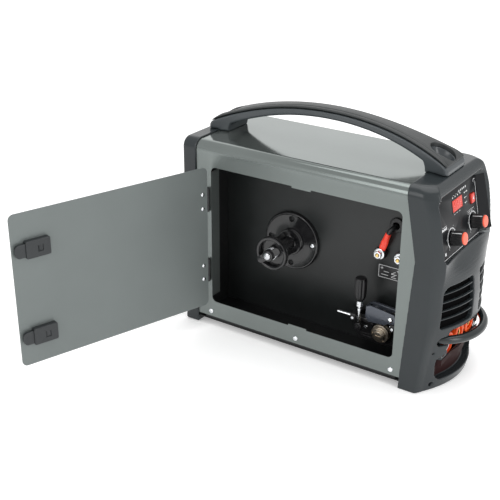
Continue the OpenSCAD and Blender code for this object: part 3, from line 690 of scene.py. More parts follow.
# The plate behind the lower mouth is painted shade with a reddish painted reflection of the sockets.
lip_shade = slab("lip_shade_plate", 66, lambda y: lip_low(y) + 1, lambda y: min(36.8, lip_high(y) - 1),
                lambda y, z: lip_floor(y, z) + 0.7, lambda y, z: lip_floor(y, z) - 0.5)
finish(smoothed(lip_shade), "recess_shade_maroon")
print(len(slats), "slats")

# %% [markdown]
# The rear bezel is a frame round the back of the cover, with two feet. It is
# lofted along the depth, the last stages drawn inwards in a quarter circle
# for the rounded rear edge, and the feet melt into it in the same remesh.

# %% Rear bezel
def rear_bezel():
    stages = [(-172, arch(87, -2, 284, 15)), (-186, arch(87, -2, 284, 15))]
    for i in range(1, 7):
        turn = math.pi / 2 * i / 6
        inset = 6 * (1 - math.cos(turn))
        stages.append((-191 - 6 * math.sin(turn), arch(87 - inset, -2 + inset, 284 - inset, 15 - inset)))
    shell = loft("rear_bezel_skin", stages)
    feet = [block("foot", (-196, y, -10), (-172, y + 30, 0), 2.5) for y in (-87, 57)]
    opening = rounded((-70, 18), (70, 262), 10)
    tools = [prism("cut", arch(85.15, -3, 282.15, 14.15), -176.2, -171),
             loft("cut", [(-198, rounded((-74, 14), (74, 266), 13)), (-193, opening), (-170, opening)])]
    tools += [cut_rod("x", -198, -170, y, z, 2.3) for y in (-77, 77) for z in (40, 240)]
    subtract(shell, *tools)
    return mould(merge("rear_bezel_skin", shell, *feet), CASE_VOXEL, CASE_PASSES)


rear = finish(rear_bezel(), "bezel_plastic", stands_for=["rear_bezel"])
print("rear bezel", len(rear.data.polygons), "faces")

# %% [markdown]
# The carrying handle has two shells. The lower band is an arch of radius 460
# mm that thickens to a foot at each end, and the softer grip lies on it with
# a dark groove between them. Both are lofted through cross-sections along
# the length, close together where the feet turn down. An oval well is
# scooped in each foot for the screw that holds the handle.

# %% Handle
FOOT_REAR, FOOT_FRONT = -189, 187
SPLIT = 334.2
SCREW_X = (163, -166)
WELL_X = (168, -170)


def arc_z(x, radius, top):
    return top - radius + math.sqrt(radius ** 2 - x ** 2)


def handle_half(x):
    tip = max(0, (x - FOOT_FRONT + 7) / 7, (FOOT_REAR + 7 - x) / 7)
    return 15 + 18 * (abs(x) / 188) ** 3 - 7 * (1 - math.sqrt(max(0, 1 - tip ** 2)))


def band_top(x):
    tip = max(0, (x - FOOT_FRONT + 8) / 8, (FOOT_REAR + 8 - x) / 8)
    return arc_z(x, 460, SPLIT) - 4.5 * tip ** 2


def band_under(x):
    inner = 153 if x > 0 else 158
    if abs(x) < inner:
        turn_down = 282 + 27 * math.sqrt(max(0, 1 - (max(0, abs(x) - inner + 30) / 30) ** 2))
        return min(arc_z(x, 400, 325.2), turn_down) if abs(x) > inner - 30 else arc_z(x, 400, 325.2)
    on_cover = -171.6 < x < 156.6
    return 282.05 if on_cover else 284.05


def stations(low, high):
    marks = [low + (high - low) * i / 150 for i in range(151)]
    marks += [s * (142 + 17 * i / 20) for s in (-1, 1) for i in range(21)]
    marks += [low + 0.5 * i for i in range(1, 12)] + [high - 0.5 * i for i in range(1, 12)]
    return sorted(set(round(x, 3) for x in marks))


def band_section(x):
    half, low, high = handle_half(x), band_under(x), band_top(x)
    edge = min(3.2, (high - low) / 2.3)
    return rounded((-half, low), (half, high), [edge, edge, edge * 0.6, edge * 0.6])


def grip_section(x):
    base, half = arc_z(x, 460, SPLIT) + 0.05, handle_half(x)
    tip = max(0, (abs(x) - 170) / 15)
    lift = max(0.06, math.sqrt(max(0, 1 - tip ** 2)))
    side = [(3.6, 0), (3.6, 1.2), (2.0, 1.7), (1.5, 2.5), (1.9, 3.4), (3.2, 4.3), (5.2, 4.8),
            (5.9, 4.8), (6.3, 3.9), (7.2, 3.9), (7.6, 5.0), (9.4, 5.3), (12, 5.6)]
    right = [(half - inset, base + rise * lift) for inset, rise in side]
    return right + [(0, base + 5.7 * lift)] + [(-y, z) for y, z in reversed(right)]


def well(x):
    bpy.ops.object.select_all(action="DESELECT")
    bpy.ops.mesh.primitive_uv_sphere_add(segments=48, ring_count=24, radius=1,
                                         location=(x * MM, 0, 0.311))
    tool = named("well")
    tool.scale = (0.0195, 0.0165, 0.0215)
    return settle(tool)


def scooped(shell):
    holes = [cut_rod("z", 270, 306, x, 0, 3.6) for x in SCREW_X]
    return subtract(shell, *[well(x) for x in WELL_X], *holes)


band = loft("handle_band", [(x, band_section(x)) for x in stations(FOOT_REAR, FOOT_FRONT)])
mould(scooped(band), 0.8, 3, 120000)
finish(band, "handle_plastic", stands_for=["handle_base"])
grip = loft("handle_grip_pad", [(x, grip_section(x)) for x in stations(-184.6, 184.6)])
mould(scooped(grip), 0.6, 2)
finish(grip, "grip_plastic", stands_for=["handle_grip"])
for x in SCREW_X:
    screw = turned("handle_screw", [(0, 1.6), (2.2, 1.5), (3.2, 0.9), (3.3, 0), (0, 0)],
                   (x, 0, 288), (0, 0, 1))
    finish(screw, "black_sheet")
print("handle", len(band.data.polygons), "and", len(grip.data.polygons), "faces")

# %% [markdown]
# The guard bar keeps knocks off the cable sockets. It is one plastic rod,
# bent in a shallow bow, whose ends turn back into the bezel. A circle swept
# along a smooth path of points gives it, and the path eases from the
# straight ends into the bow so that no kink shows.

# %% Guard bar
def path_points(corners, steps):
    """A smooth curve through the corners."""
    points = []
    padded = [corners[0]] + list(corners) + [corners[-1]]
    for i in range(1, len(padded) - 2):
        a, b, c, d = (Vector(p) for p in padded[i - 1:i + 3])
        for step in range(steps):
            t = step / steps
            points.append(0.5 * (2 * b + (c - a) * t + (2 * a - 5 * b + 4 * c - d) * t ** 2
                                 + (3 * b - a - 3 * c + d) * t ** 3))
    return points + [Vector(corners[-1])]


def tube(name, points, radius, sides, up=(0, 0, 1)):
    """A round tube along the points; radius is a number or a function of the share."""
    frames = []
    reference = Vector(up)
    for i, point in enumerate(points):
        ahead = points[min(i + 1, len(points) - 1)] - points[max(i - 1, 0)]
        ahead.normalize()
        side = reference.cross(ahead).normalized()
        reference = ahead.cross(side).normalized()
        frames.append((point, side, reference))

    def place(across, along):
        point, side, top = frames[along]
        r = radius(along / (len(points) - 1)) if callable(radius) else radius
        turn = math.tau * across / sides
        return point + side * (r * math.cos(turn)) + top * (r * math.sin(turn))

    return smoothed(sheet(name, sides, len(points) - 1, place))


BAR_Z = 67
BOW_CENTRE, BOW_RADIUS = 171.95, 71.05
bow_points = [(BOW_CENTRE + BOW_RADIUS * math.cos(a), BOW_RADIUS * math.sin(a), BAR_Z)
              for a in (math.radians(-50 + 100 * i / 12) for i in range(13))]
ends = [(188, -60, BAR_Z), (200, -60, BAR_Z), (209, -59, BAR_Z)]
bar_path = path_points(ends + bow_points + [(x, -y, z) for x, y, z in reversed(ends)], 6)
bar = tube("guard_bar_rod", bar_path, lambda t: 5.6 + 0.4 * min(1, 12 * min(t, 1 - t)), 28)
finish(bar, "bar_plastic", stands_for=["guard_bar"])
for side in (-1, 1):
    collar = turned("bar_collar", [(6.3, 0), (7.4, 0), (7.4, 1.2), (6.9, 1.8), (6.3, 1.8)],
                    (200.2, side * 60, BAR_Z), (1, 0, 0))
    finish(collar, "black_sheet")
print("bar of", len(bar_path), "stations")

# %% [markdown]
# The control panel is a satin black plate, leaning back by 12 degrees, with
# openings for the display, the button and the two shafts. It is modelled
# upright at the origin and then turned into place, which keeps its numbers
# simple. The print on it is a hair's breadth proud of the plate: two dial
# arcs with ticks and plain figures and short marks. Light lines along its lower
# and right edges are laid on the same way, as painted highlights. The
# display is a red pane with bright bars in a black frame.

# %% Control panel and its print
KNOB_Y = (-34.4, 36.6)
DISPLAY = (-6.5, 38)
BUTTON = (42, 31)
DIAL_END, DIAL_SWEEP = -48, 276


def on_panel(piece, slot, body="case", stands_for=()):
    return finish(placed(piece, panel_turn), slot, body, stands_for)


def around(centre, half_y, half_v, low_x, high_x, name="cut", edge=0.0):
    """A block round a point of the panel."""
    y, v = centre
    return block(name, (low_x, y - half_y, v - half_v), (high_x, y + half_y, v + half_v), edge)


plate = prism("panel_plate", rounded((-72.8, -22.8), (57.8, 63.8), 8.8), -2, 0)
subtract(plate, around(DISPLAY, 18, 9, -3, 1), around(BUTTON, 7, 7.5, -3, 1),
         *[cut_rod("x", -3, 1, y, 0, 4) for y in KNOB_Y])
on_panel(soften(plate, 0.3, 2), "panel_face", stands_for=["control_panel"])


def mark(low, high):
    return block("mark", (0.02, *low), (0.12, *high))


def dial_arc(y, radius, width):
    def place(across, along):
        turn = math.radians(DIAL_END + DIAL_SWEEP * across / 60)
        along %= 4
        r = radius + width * (along in (1, 2))
        return 0.12 if along in (2, 3) else 0.02, y + r * math.cos(turn), r * math.sin(turn)

    return sheet("arc", 60, 4, place)

def figure(body, y, v, size):
    bpy.ops.object.select_all(action="DESELECT")
    bpy.ops.object.text_add()
    text = bpy.context.object
    text.data.body = body
    text.data.size = size * MM
    text.data.align_x = text.data.align_y = "CENTER"
    text.data.extrude = 0.00004
    bpy.ops.object.convert(target="MESH")
    text.rotation_euler = (math.pi / 2, 0, math.pi / 2)
    text.location = (0.00008, y * MM, v * MM)
    return settle(text)


prints = []
for y in KNOB_Y:
    prints.append(dial_arc(y, 12.6, 1.2))
    for i in range(11):
        degrees = DIAL_END + DIAL_SWEEP * (1 - i / 10)
        tick = mark((y + 13.4, -0.25), (y + (14.4 if i % 5 else 15.2), 0.25))
        prints.append(placed(tick, about((0, y, 0), "X", degrees)))
        if i % 2 == 0:
            turn = math.radians(degrees)
            prints.append(figure(str(i), y + 16.8 * math.cos(turn), 16.8 * math.sin(turn), 2.3))
# Each row has a low corner, a high corner, the step to its next mark and a count
# The first four rows are painted highlights, not print: the line along the panel's lower edge and the line
# with its hooked top along the right edge.
rows = [(-64, -21.9, 52, -21.1, 0, 0, 1), (55.6, -9, 56.4, 51, 0, 0, 1), (50, 54, 56.4, 54.9, 0, 0, 1),
        (50, 50.6, 50.9, 54.9, 0, 0, 1), (-64, 56.5, -54, 57, 0, 0, 1), (-64, 54.6, -58, 55.1, 0, 0, 1),
        (1, 51.6, 3.4, 54.2, 5.4, 0, 5), (-20.5, 27, -15.5, 27.5, 8, 0, 3),
        (20.5, 45.7, 24.5, 46.3, 0, -7, 3), (-18, 52, -14.5, 52.4, 8, 0, 4),
        (-60, -16.5, -56, -12.5, 0, 0, 1), (-60, 21, -47, 21.5, 0, 0, 1), (-60, 18.6, -51, 19.1, 0, 0, 1)]
for y0, v0, y1, v1, dy, dv, count in rows:
    prints += [mark((y0 + dy * i, v0 + dv * i), (y1 + dy * i, v1 + dv * i)) for i in range(count)]
prints += [mark((-68 + 3.1 * i, 16.4), (-65.6 + 3.1 * i, 19.8 - 0.9 * (i % 2))) for i in range(7)]
prints += [mark((22, 17.5 - 2.2 * i), (44 - 5 * i, 17.9 - 2.2 * i)) for i in range(3)]
on_panel(merge("panel_marks_and_highlights", *prints), "print_and_painted_highlight")

cheek_side = loft("pocket_cheek", [
    (-20, [(0.2, 57), (1, 57.2), (11.6, 71.4), (10.4, 73), (0.2, 59.5)]),
    (58, [(0.2, 57), (1, 57.2), (9.4, 68.4), (8.2, 70), (0.2, 59.5)])], "z")
on_panel(smoothed(cheek_side), "panel_face")
# A thin light strip along the ledge below the panel is a painted highlight on its edge.
ledge_highlight_line = [Vector(p) for p in ((0.9, 57, -22), (4, 58.8, -22.5), (8, 61.4, -23.2), (11.5, 64, -23.8))]
on_panel(tube("ledge_highlight_strip", ledge_highlight_line, 1, 16), "highlight_grey")

on_panel(around(DISPLAY, 15.8, 7.9, -3.8, 0.4, "display_pane", 0.7), "display_red",
         stands_for=["display_window"])
surround = prism("display_frame", rounded((-24.4, 29.1), (11.4, 46.9), 1), -3, 0.3)
subtract(surround, around(DISPLAY, 15.9, 8, -4, 1))
on_panel(soften(surround, 0.15, 2), "panel_face")
bars = []
for y in (DISPLAY[0] - 10.5, DISPLAY[0], DISPLAY[0] + 10.5):
    bars += [around((y, DISPLAY[1] + dv), 2.2, 0.45, 0.42, 0.5, "bar") for dv in (-6, 0, 6)]
    bars += [around((y + dy, DISPLAY[1] + dv), 0.45, 2.3, 0.42, 0.5, "bar")
             for dy in (-3, 3) for dv in (-3, 3)]
on_panel(merge("display_segments", *bars), "display_bars")
print(len(prints), "marks on the panel")

# %% [markdown]
# The button is a bevelled red cap with a white arrow head. Each knob is a
# tapered drum with 24 flutes for the fingers, and a coloured cap set in its
# end. The flutes are in the grid's own formula: the radius dips as a cosine
# round the drum, and the dip fades out towards both ends.

# %% Button and knobs
on_panel(around(BUTTON, 5.4, 6.6, -4.8, 2.2, "mode_button_cap", 1.1), "button_red", "button",
         ["mode_button"])
arrow = prism("button_arrow", [(39.4, 31), (43.6, 28.2), (43.6, 33.8)], 2.15, 2.3)
on_panel(arrow, "print_and_painted_highlight", "button")


def knob(name, y, body, stands_for):
    line = [(3, -14), (3, 0.8), (9, 0.8), (9.9, 1.2), (10.2, 2.2), (10.1, 4), (9.9, 7),
            (9.7, 10.5), (9.5, 13.6), (9.3, 15.8), (8.9, 16.8), (8.4, 17.2), (0, 17.2)]
    dips = [0, 0, 0, 0, 0, 0.6, 1, 1, 1, 0.5, 0, 0, 0]

    def place(across, along):
        turn = math.tau * across / 192
        r, distance = line[along]
        r -= 0.45 * dips[along] * (1 + math.cos(24 * turn))
        return distance, y + r * math.cos(turn), r * math.sin(turn)

    drum = smoothed(sheet(name, 192, len(line) - 1, place))
    on_panel(drum, "knob_black", body, stands_for)
    top = turned(name + "_cap", [(0, 0), (8.2, 0), (8.2, 1.2), (7.7, 1.75), (6.6, 1.9), (0, 1.6)],
                 (17.2, y, 0), (1, 0, 0))
    on_panel(top, "knob_cap_painted_glow", body)
    pointer = block(name + "_pointer", (3, y + 8.6, -0.5), (16, y + 9.9, 0.5), 0.2)
    on_panel(placed(pointer, about((0, y, 0), "X", 120)), "print_and_painted_highlight", body)


knob("left_knob_drum", KNOB_Y[0], "left_knob", ["knob_left"])
knob("right_knob_drum", KNOB_Y[1], "right_knob", ["knob_right"])
print("button and knobs made")

# %% [markdown]
# The three cable sockets are turned parts, so each is an outline spun about
# its axis: a flange on the panel, a barrel with two grooves and a rounded
# mouth. A brass sleeve lines the two plug sockets and a steel one the torch
# outlet. The keyway that locks a plug is cut at the top.

# %% Cable sockets
def socket(name, y, z, flange, barrel, bore, lining, stands_for):
    outline = [(bore + 1.2, 172), (9, 172), (9, 185.5), (flange, 185.5), (flange, 189),
               (flange - 0.8, 190), (barrel, 190), (barrel, 196), (barrel - 0.9, 196.8),
               (barrel - 0.9, 198.2), (barrel, 199), (barrel, 203), (barrel - 0.9, 203.8),
               (barrel - 0.9, 205.2), (barrel, 206), (barrel, 210.6), (barrel - 0.5, 211.6),
               (barrel - 1.4, 212), (bore + 4.6, 212), (bore + 4, 211.4), (bore + 4, 209),
               (bore + 1.2, 209), (bore + 1.2, 172)]
    ring = turned(name + "_shell", outline, (0, y, z), (1, 0, 0), 80)
    subtract(ring, block("cut", (204, y - 2, z + bore + 1), (213, y + 2, z + bore + 5.6)))
    smoothed(ring)
    finish(ring, "socket_orange", stands_for=stands_for)
    sleeve = turned(name + "_sleeve", [(bore + 1.15, 174), (bore + 1.15, 209.6), (bore + 0.7, 210),
                                       (bore, 209.6), (bore, 188), (0.01, 188), (0.01, 174)],
                    (0, y, z), (1, 0, 0))
    finish(sleeve, lining)


socket("negative", 8, 48, 17, 15.5, 4.5, "brass", ["socket_negative"])
socket("positive", 44, 48, 17, 15.5, 4.5, "brass", ["socket_positive"])
socket("torch", -32, 48, 19, 17.5, 9.6, "bright_steel", ["torch_outlet"])
stud = turned("socket_stud", [(0, 0), (3.2, 0), (3.2, 3), (2.4, 4), (2.4, 7), (1.6, 8), (0, 8.2)],
              (190, 60.5, 38), (1, 0, 0))
finish(stud, "bright_steel")
print("three sockets")

# %% [markdown]
# The spool hub stands on a glossy moulded flange, screwed to the partition.
# Flange, hub body and the boss of the lock are turned outlines; the four
# vanes that a spool slides over are lofted plates set at right angles. The
# spring that brakes the spool is a real coil, a tube along a helix inside
# the cup.

# %% Spool hub
HUB = (-52, 130)


def hub_at(y):
    return HUB[0], y, HUB[1]


def pan_screw(name, place, towards, radius, slot="bright_screws", body="case"):
    height = radius * 0.62
    head = turned(name, [(0, 0), (radius, 0), (radius, height * 0.25), (radius * 0.93, height * 0.6),
                         (radius * 0.7, height * 0.88), (radius * 0.35, height), (0, height)],
                  (0, 0, 0), (0, 0, 1), 32)
    width, deep = radius * 0.13, height * 0.35
    for size in ((radius * 0.52, width), (width, radius * 0.52)):
        subtract(head, block("cut", (-size[0], -size[1], height - deep), (size[0], size[1], height + 1)))
    smoothed(head)
    return finish(placed(head, facing(place, towards)), slot, body)


flange = turned("hub_flange_disc", [
    (4.4, 0), (45, 0), (45, 5.0), (44.5, 6.2), (43.4, 7), (42, 7), (41.3, 6.4), (40.4, 6), (21, 6),
    (19, 6.3), (18, 7.2), (16.6, 8.2), (15.6, 8.6), (4.4, 8.6), (4.4, 0)], hub_at(-9), (0, -1, 0), 120)
for turn in range(0, 360, 90):
    spot = about(hub_at(0), "Y", turn)
    for low, radius in ((-10, 2.3), (-13, 4.6)):
        subtract(flange, placed(cut_rod("y", low, -20, HUB[0] + 35, HUB[1], radius), spot))
finish(smoothed(flange, 30), "hub_black", stands_for=["hub_flange"])
for turn in range(0, 360, 90):
    x = HUB[0] + 35 * math.cos(math.radians(turn))
    z = HUB[1] + 35 * math.sin(math.radians(turn))
    pan_screw("flange_screw", (x, -13.1, z), (0, -1, 0), 4, "bright_screws" if turn == 0 else "black_sheet")

axle = turned("hub_axle_pin", [(0, 0), (3, 0.1), (4.7, 0.6), (5.5, 1.5), (5.6, 2.4), (4, 2.4), (4, 76.9),
                               (0, 76.9)], hub_at(-84.4), (0, 1, 0))
nut = rod("hub_axle_nut", hub_at(-7.5), hub_at(-2.5), 8, sides=6, edge=0.5)
finish(merge("hub_axle_pin", axle, nut), "bright_steel", stands_for=["hub_axle"])
coil = [Vector((HUB[0] + 8.4 * math.cos(a), -73 + 7 * a / (8 * math.pi), HUB[1] + 8.4 * math.sin(a)))
        for a in (8 * math.pi * i / 160 for i in range(161))]
finish(tube("brake_coil", coil, 0.85, 12, (0, 1, 0)), "bright_steel", stands_for=["brake_spring"])

drum = turned("spool_hub_drum", [
    (4.1, 8.2), (10.4, 8.2), (11.6, 8), (20.2, 8), (20.2, 1.6), (21, 0.4), (22, 0), (24, 0), (25, 0.9),
    (25, 8.2), (24.4, 9), (11, 9), (9.4, 12), (8.4, 18), (8.4, 44), (10, 49.5), (12, 50.5), (19.2, 50.5),
    (20, 51.3), (20, 53.2), (19.2, 54), (4.1, 54), (4.1, 8.2)], hub_at(-72), (0, 1, 0), 96)
vane = loft("vane", [(z, [(HUB[0] + 7.6, -63.5), (HUB[0] + 24.3, -63.5), (HUB[0] + 24.2, -61),
                          (HUB[0] + 20, -55), (HUB[0] + 17, -45), (HUB[0] + 16, -34),
                          (HUB[0] + 17.6, -21.5), (HUB[0] + 7.6, -21.5)])
                     for z in (HUB[1] - 1.4, HUB[1] + 1.4)], "z")
soften(vane, 0.6, 2)
vanes = [again(vane, "vane", about(hub_at(0), "Y", 45 + 90 * i)) for i in range(4)]
bpy.data.objects.remove(vane)
finish(merge("spool_hub_drum", drum, *vanes), "hub_black", "hub", ["spool_hub"])

boss = turned("hub_lock_boss", [(4.1, 0), (6.8, 0), (8, 0.5), (8.5, 1.5), (8.5, 7.5), (4.1, 7.5), (4.1, 0)],
              hub_at(-81.5), (0, 1, 0))
wing = loft("wing", [(-78.4, rounded((HUB[0] - 22, 124.7), (HUB[0] + 22, 135.3), 5)),
                     (-74.1, rounded((HUB[0] - 22, 124.5), (HUB[0] + 22, 135.5), 5.2))], "y")
subtract(wing, rod("cut", hub_at(-90), hub_at(-70), 7))
soften(wing, 1.1)
placed(wing, about(hub_at(0), "Y", -35))
finish(merge("hub_lock_boss", boss, wing), "hub_black", "hub_lock", ["hub_lock"])
print("hub made")

# %% [markdown]
# The wire feeder is a moulded block with the inlet tube on the left, the
# steel drive roll in the middle and a pressure arm over it. The arm swings
# up when the tensioner rod, with its ribbed knob, is folded away. Plates are
# cut from outlines and bevelled; what turns is spun from an outline.

# %% Wire feeder
ROLL = (111, 33.5)
IDLER_Z = 58.5
WIRE = (-32, 48)


def plate_y(name, outline, back, front, edge):
    return soften(prism(name, outline, back, front, "y"), edge)


body_plate = plate_y("body", [(63, 54), (73, 54), (75, 46), (88, 46), (94, 40), (122, 40), (124, 54),
                              (134, 54), (134, 14), (72, 14), (63, 26)], -26, -9, 1.2)
subtract(body_plate, cut_rod("y", -40, -23.4, *ROLL, 17.5))
parts = [smoothed(body_plate),
         block("inlet", (63, -38, 42), (72, -9, 54), 1.2),
         block("outlet", (126, -38, 42), (134, -9, 54), 1.2),
         block("post", (120, -18.7, 40), (135, -9, 71), 1.2),
         block("rib", (76, -27.2, 17), (94, -25, 18.6), 0.5),
         block("rib", (76, -27.2, 21), (92, -25, 22.6), 0.5),
         rod("tensioner_pin", (80, -48, 40), (80, -9, 40), 2.5, edge=0.4),
         turned("arm_pin", [(0, 0), (5.4, 0), (6.5, 0.8), (6.5, 3.2), (4, 3.2), (4, 20), (0, 20)],
                (128, -29, 63), (0, 1, 0))]
feeder = merge("feeder_housing", *parts)
subtract(feeder, cut_rod("x", 60, 140, *WIRE, 2.52), cut_rod("y", -40, 0, *ROLL, 4.08))
finish(smoothed(feeder), "feeder_black", stands_for=["feeder_body"])

for x, z, y in ((67, 47, -38), (130, 47, -38), (74, 28, -26), (130, 22, -26), (84, 33, -26)):
    pan_screw("feeder_screw", (x, y, z), (0, -1, 0), 3)
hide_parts("compartment_screws")

inlet = turned("wire_guide_tubes", [(1, 0), (2, 0), (2.5, 0.5), (2.5, 48), (1, 48), (1, 0)],
               (40, *WIRE), (1, 0, 0), 40)
outlet = turned("outlet", [(1, 0), (2.5, 0), (2.5, 65.5), (1, 65.5), (1, 0)], (124, *WIRE), (1, 0, 0), 40)
finish(merge("wire_guide_tubes", inlet, outlet), "bright_screws", stands_for=["wire_guides"])
shroud = soften(loft("guide_shroud", [(72, rounded((-36.4, 43.4), (-26.2, 52.6), 2)),
                                      (94, rounded((-35.6, 44.2), (-26.2, 51.8), 2))]), 0.6)
subtract(shroud, cut_rod("x", 60, 140, *WIRE, 2.56))
finish(smoothed(shroud), "feeder_black")

roll = turned("drive_roll_disc", [
    (0, 0), (5.6, 0), (6.4, 0.6), (6.4, 2), (8.2, 2.2), (9, 3), (9, 5.6), (9.6, 6), (12.9, 6),
    (13.7, 6.7), (13.7, 9.4), (13.1, 10), (13.1, 12), (13.7, 12.6), (13.7, 15.4), (13.2, 16),
    (4, 16), (4, 48), (0, 48)], (ROLL[0], -43, ROLL[1]), (0, 1, 0), 96)
for turn in (30, 150, 270):
    spot = about((ROLL[0], 0, ROLL[1]), "Y", turn)
    subtract(roll, placed(cut_rod("y", -38, -35.5, ROLL[0], ROLL[1] + 11, 1.3), spot))
subtract(roll, block("cut", (ROLL[0] - 4.5, -44, ROLL[1] - 0.6), (ROLL[0] + 4.5, -42.2, ROLL[1] + 0.6)))
finish(smoothed(roll, 30), "roll_steel", "roll", ["drive_roll"])
idler = turned("idler_roll_disc", [
    (2.56, 0), (8.9, 0), (9.7, 0.7), (9.7, 3.8), (9, 4.5), (9.7, 5.2), (9.7, 8.3), (8.9, 9), (2.56, 9),
    (2.56, 0)], (ROLL[0], -36.5, IDLER_Z), (0, 1, 0), 80)
finish(idler, "roll_steel", "idler", ["idler_roll"])

arm_plate = plate_y("arm_plate", [(134, 57), (136, 63), (134, 70), (128, 72), (92, 75), (86, 72), (86, 64),
                                  (100, 56)], -25, -19, 1.3)
arm_parts = [arm_plate, block("lug", (86, -36, 66), (91, -22, 72), 0.9),
             rod("pin", (ROLL[0], -37.5, IDLER_Z), (ROLL[0], -22, IDLER_Z), 2.5),
             turned("pin_head", [(0, 0), (3.2, 0), (4, 0.7), (4, 2), (0, 2)],
                    (ROLL[0], -39, IDLER_Z), (0, 1, 0))]
arm = merge("pressure_arm_plate", *arm_parts)
subtract(arm, cut_rod("y", -40, 0, 128, 63, 4.07))
finish(smoothed(arm), "arm_metal", "arm", ["pressure_arm"])
arm_cover = plate_y("arm_cover", [(94, 51), (119, 52), (124, 56), (134.5, 57), (137, 63.5), (134, 72),
                                  (96, 77), (89, 74), (88.6, 58)], -41.6, -39.1, 0.9)
finish(smoothed(arm_cover), "arm_metal", "arm")
pan_screw("arm_screw", (128, -41.5, 64), (0, -1, 0), 4.2, body="arm")

rod_line = [(0, 3.5), (2.3, 3.8), (2.5, 4.6), (2.5, 26), (3.6, 26.6), (3.6, 29.4), (2.5, 30), (2.5, 33),
            (4.6, 33), (5.4, 33.8), (5.4, 35.8), (4.9, 36.3), (4.9, 37), (5.4, 37.5), (5.4, 39.6),
            (4.9, 40.1), (5.4, 40.6), (5.4, 41.4), (4.6, 42), (2.5, 42), (2.5, 59.4), (2, 60), (0, 60)]
stem = turned("tensioner_stem", rod_line, (80, -43, 40), (0, 0, 1), 48)
eye = turned("eye", [(2.57, 0), (4.8, 0), (5.5, 0.7), (5.5, 6.3), (4.8, 7), (2.57, 7), (2.57, 0)],
             (80, -46.5, 40), (0, 1, 0), 48)
finish(stem, "bright_screws", "tensioner", ["tensioner"])
finish(eye, "feeder_black", "tensioner")


def grip_knob():
    line = [(2.6, 60.5), (2.6, 43), (5.2, 43), (6.4, 43.7), (7.4, 46), (8.6, 50), (8.9, 54), (8.9, 70),
            (8.6, 74), (7.8, 76.6), (6, 77.8), (2.5, 78.2), (0, 78.2)]
    dips = [0, 0, 0, 0, 0.3, 0.9, 1, 1, 0.8, 0.3, 0, 0, 0]

    def place(across, along):
        turn = math.tau * across / 96
        r, z = line[along]
        r -= 1.5 * dips[along] * (0.5 + 0.5 * math.cos(8 * turn)) ** 2
        return 80 + r * math.cos(turn), -43 + r * math.sin(turn), 40 + z

    return smoothed(sheet("tension_knob_grip", 96, len(line) - 1, place))


finish(grip_knob(), "knob_black", "tension_knob", ["tension_knob"])
print("feeder made")

# %% [markdown]
# Two brass studs carry the welding polarity. Each has a black insulator, a
# washer and a hexagonal nut, and a real thread: the radius of the stud's
# grid rises and falls along a helix. The lead's ring lug sits under the left
# nut, a flattened red sleeve covers the crimp, and the black lead bends back
# through a grommet. A label with plain printed marks lies below them.

# %% Polarity terminals, lead and label
STUD_X = (93.5, 124.7)
STUD_Z = 148
def threaded(name, x):
    rows = 190

    def place(across, along):
        turn = math.tau * across / 24
        y = -26.4 + 34.4 * along / rows
        end = min(1, (along + 1) / 5, (rows - along + 1) / 5)
        r = (3 - 0.16 * (1 - math.cos(math.tau * y / 1.25 - turn))) * (0.72 + 0.28 * end)
        return x + r * math.cos(turn), y, STUD_Z + r * math.sin(turn)

    return smoothed(sheet(name, 24, rows, place), 60)


studs, insulators, nuts = [], [], []
for x in STUD_X:
    studs.append(threaded("terminal_stud_rods", x))
    insulators.append(turned("insulator", [
        (3.1, 0), (8.3, 0), (9.5, 1), (9.5, 7), (4.8, 7), (4.8, 8.5), (9.5, 8.5), (9.5, 12.2),
        (8.7, 13), (3.1, 13), (3.1, 0)], (x, -16, STUD_Z), (0, 1, 0)))
    for y in (-20, -3):
        nuts.append(turned("washer", [(3.1, 0), (7.6, 0), (8, 0.3), (8, 1.1), (7.6, 1.4), (3.1, 1.4),
                                      (3.1, 0)], (x, y, STUD_Z), (0, 1, 0), 48))
    for low in (-25, -1.6):
        hexagon = rod("nut", (x, low, STUD_Z), (x, low + 4.6, STUD_Z), 6, sides=6, edge=0.55)
        nuts.append(smoothed(subtract(hexagon, cut_rod("y", low - 1, low + 6, x, STUD_Z, 3.05))))
finish(merge("terminal_stud_rods", *studs), "brass", stands_for=["terminal_studs"])
finish(merge("terminal_insulator_discs", *insulators), "hub_black", stands_for=["terminal_insulators"])
finish(merge("terminal_nut_set", *nuts), "bright_screws", stands_for=["terminal_nuts"])

lead_path = path_points([(104.5, -21, 177), (106.8, -22, 182.5), (109.6, -22.4, 187.6), (112.2, -19.6, 190.8),
                         (112.8, -14, 192), (112.8, -6, 192), (112.8, 4, 192), (112.8, 12, 192)], 8)
finish(tube("polarity_cable", lead_path, 3.6, 24), "lead_black", stands_for=["polarity_lead"])
lug = turned("ring_lug", [(3.1, 0), (6.6, 0), (7, 0.4), (7, 2), (6.6, 2.4), (3.1, 2.4), (3.1, 0)],
             (93.5, -18.5, 148), (0, 1, 0), 48)
neck = placed(block("neck", (90, -18.4, 153), (97, -16.2, 161), 0.6), about((93.5, 0, 148), "Y", 22))
finish(merge("ring_lug", lug, neck), "bright_screws")


def sleeve():
    low, high = Vector((96.6, -17.4, 155.2)), Vector((107.4, -22.1, 184.2))
    along_axis = (high - low).normalized()
    side = Vector((0, 1, 0)).cross(along_axis).normalized()
    depth = along_axis.cross(side)
    line = [(0, 4.2, 1.7), (0.02, 4.9, 2.2), (0.12, 5.2, 2.4), (0.42, 5.4, 2.6), (0.58, 4.7, 3.3),
            (0.72, 4.2, 4.0), (0.97, 4.1, 4.1), (1, 3.7, 3.7)]

    def place(across, along):
        share, half, thick = line[along]
        turn = math.tau * across / 36
        return (low + (high - low) * share + side * (half * math.cos(turn))
                + depth * (thick * math.sin(turn)))

    return smoothed(modify(sheet("lug_sleeve_skin", 36, len(line) - 1, place), "SUBSURF", levels=2))


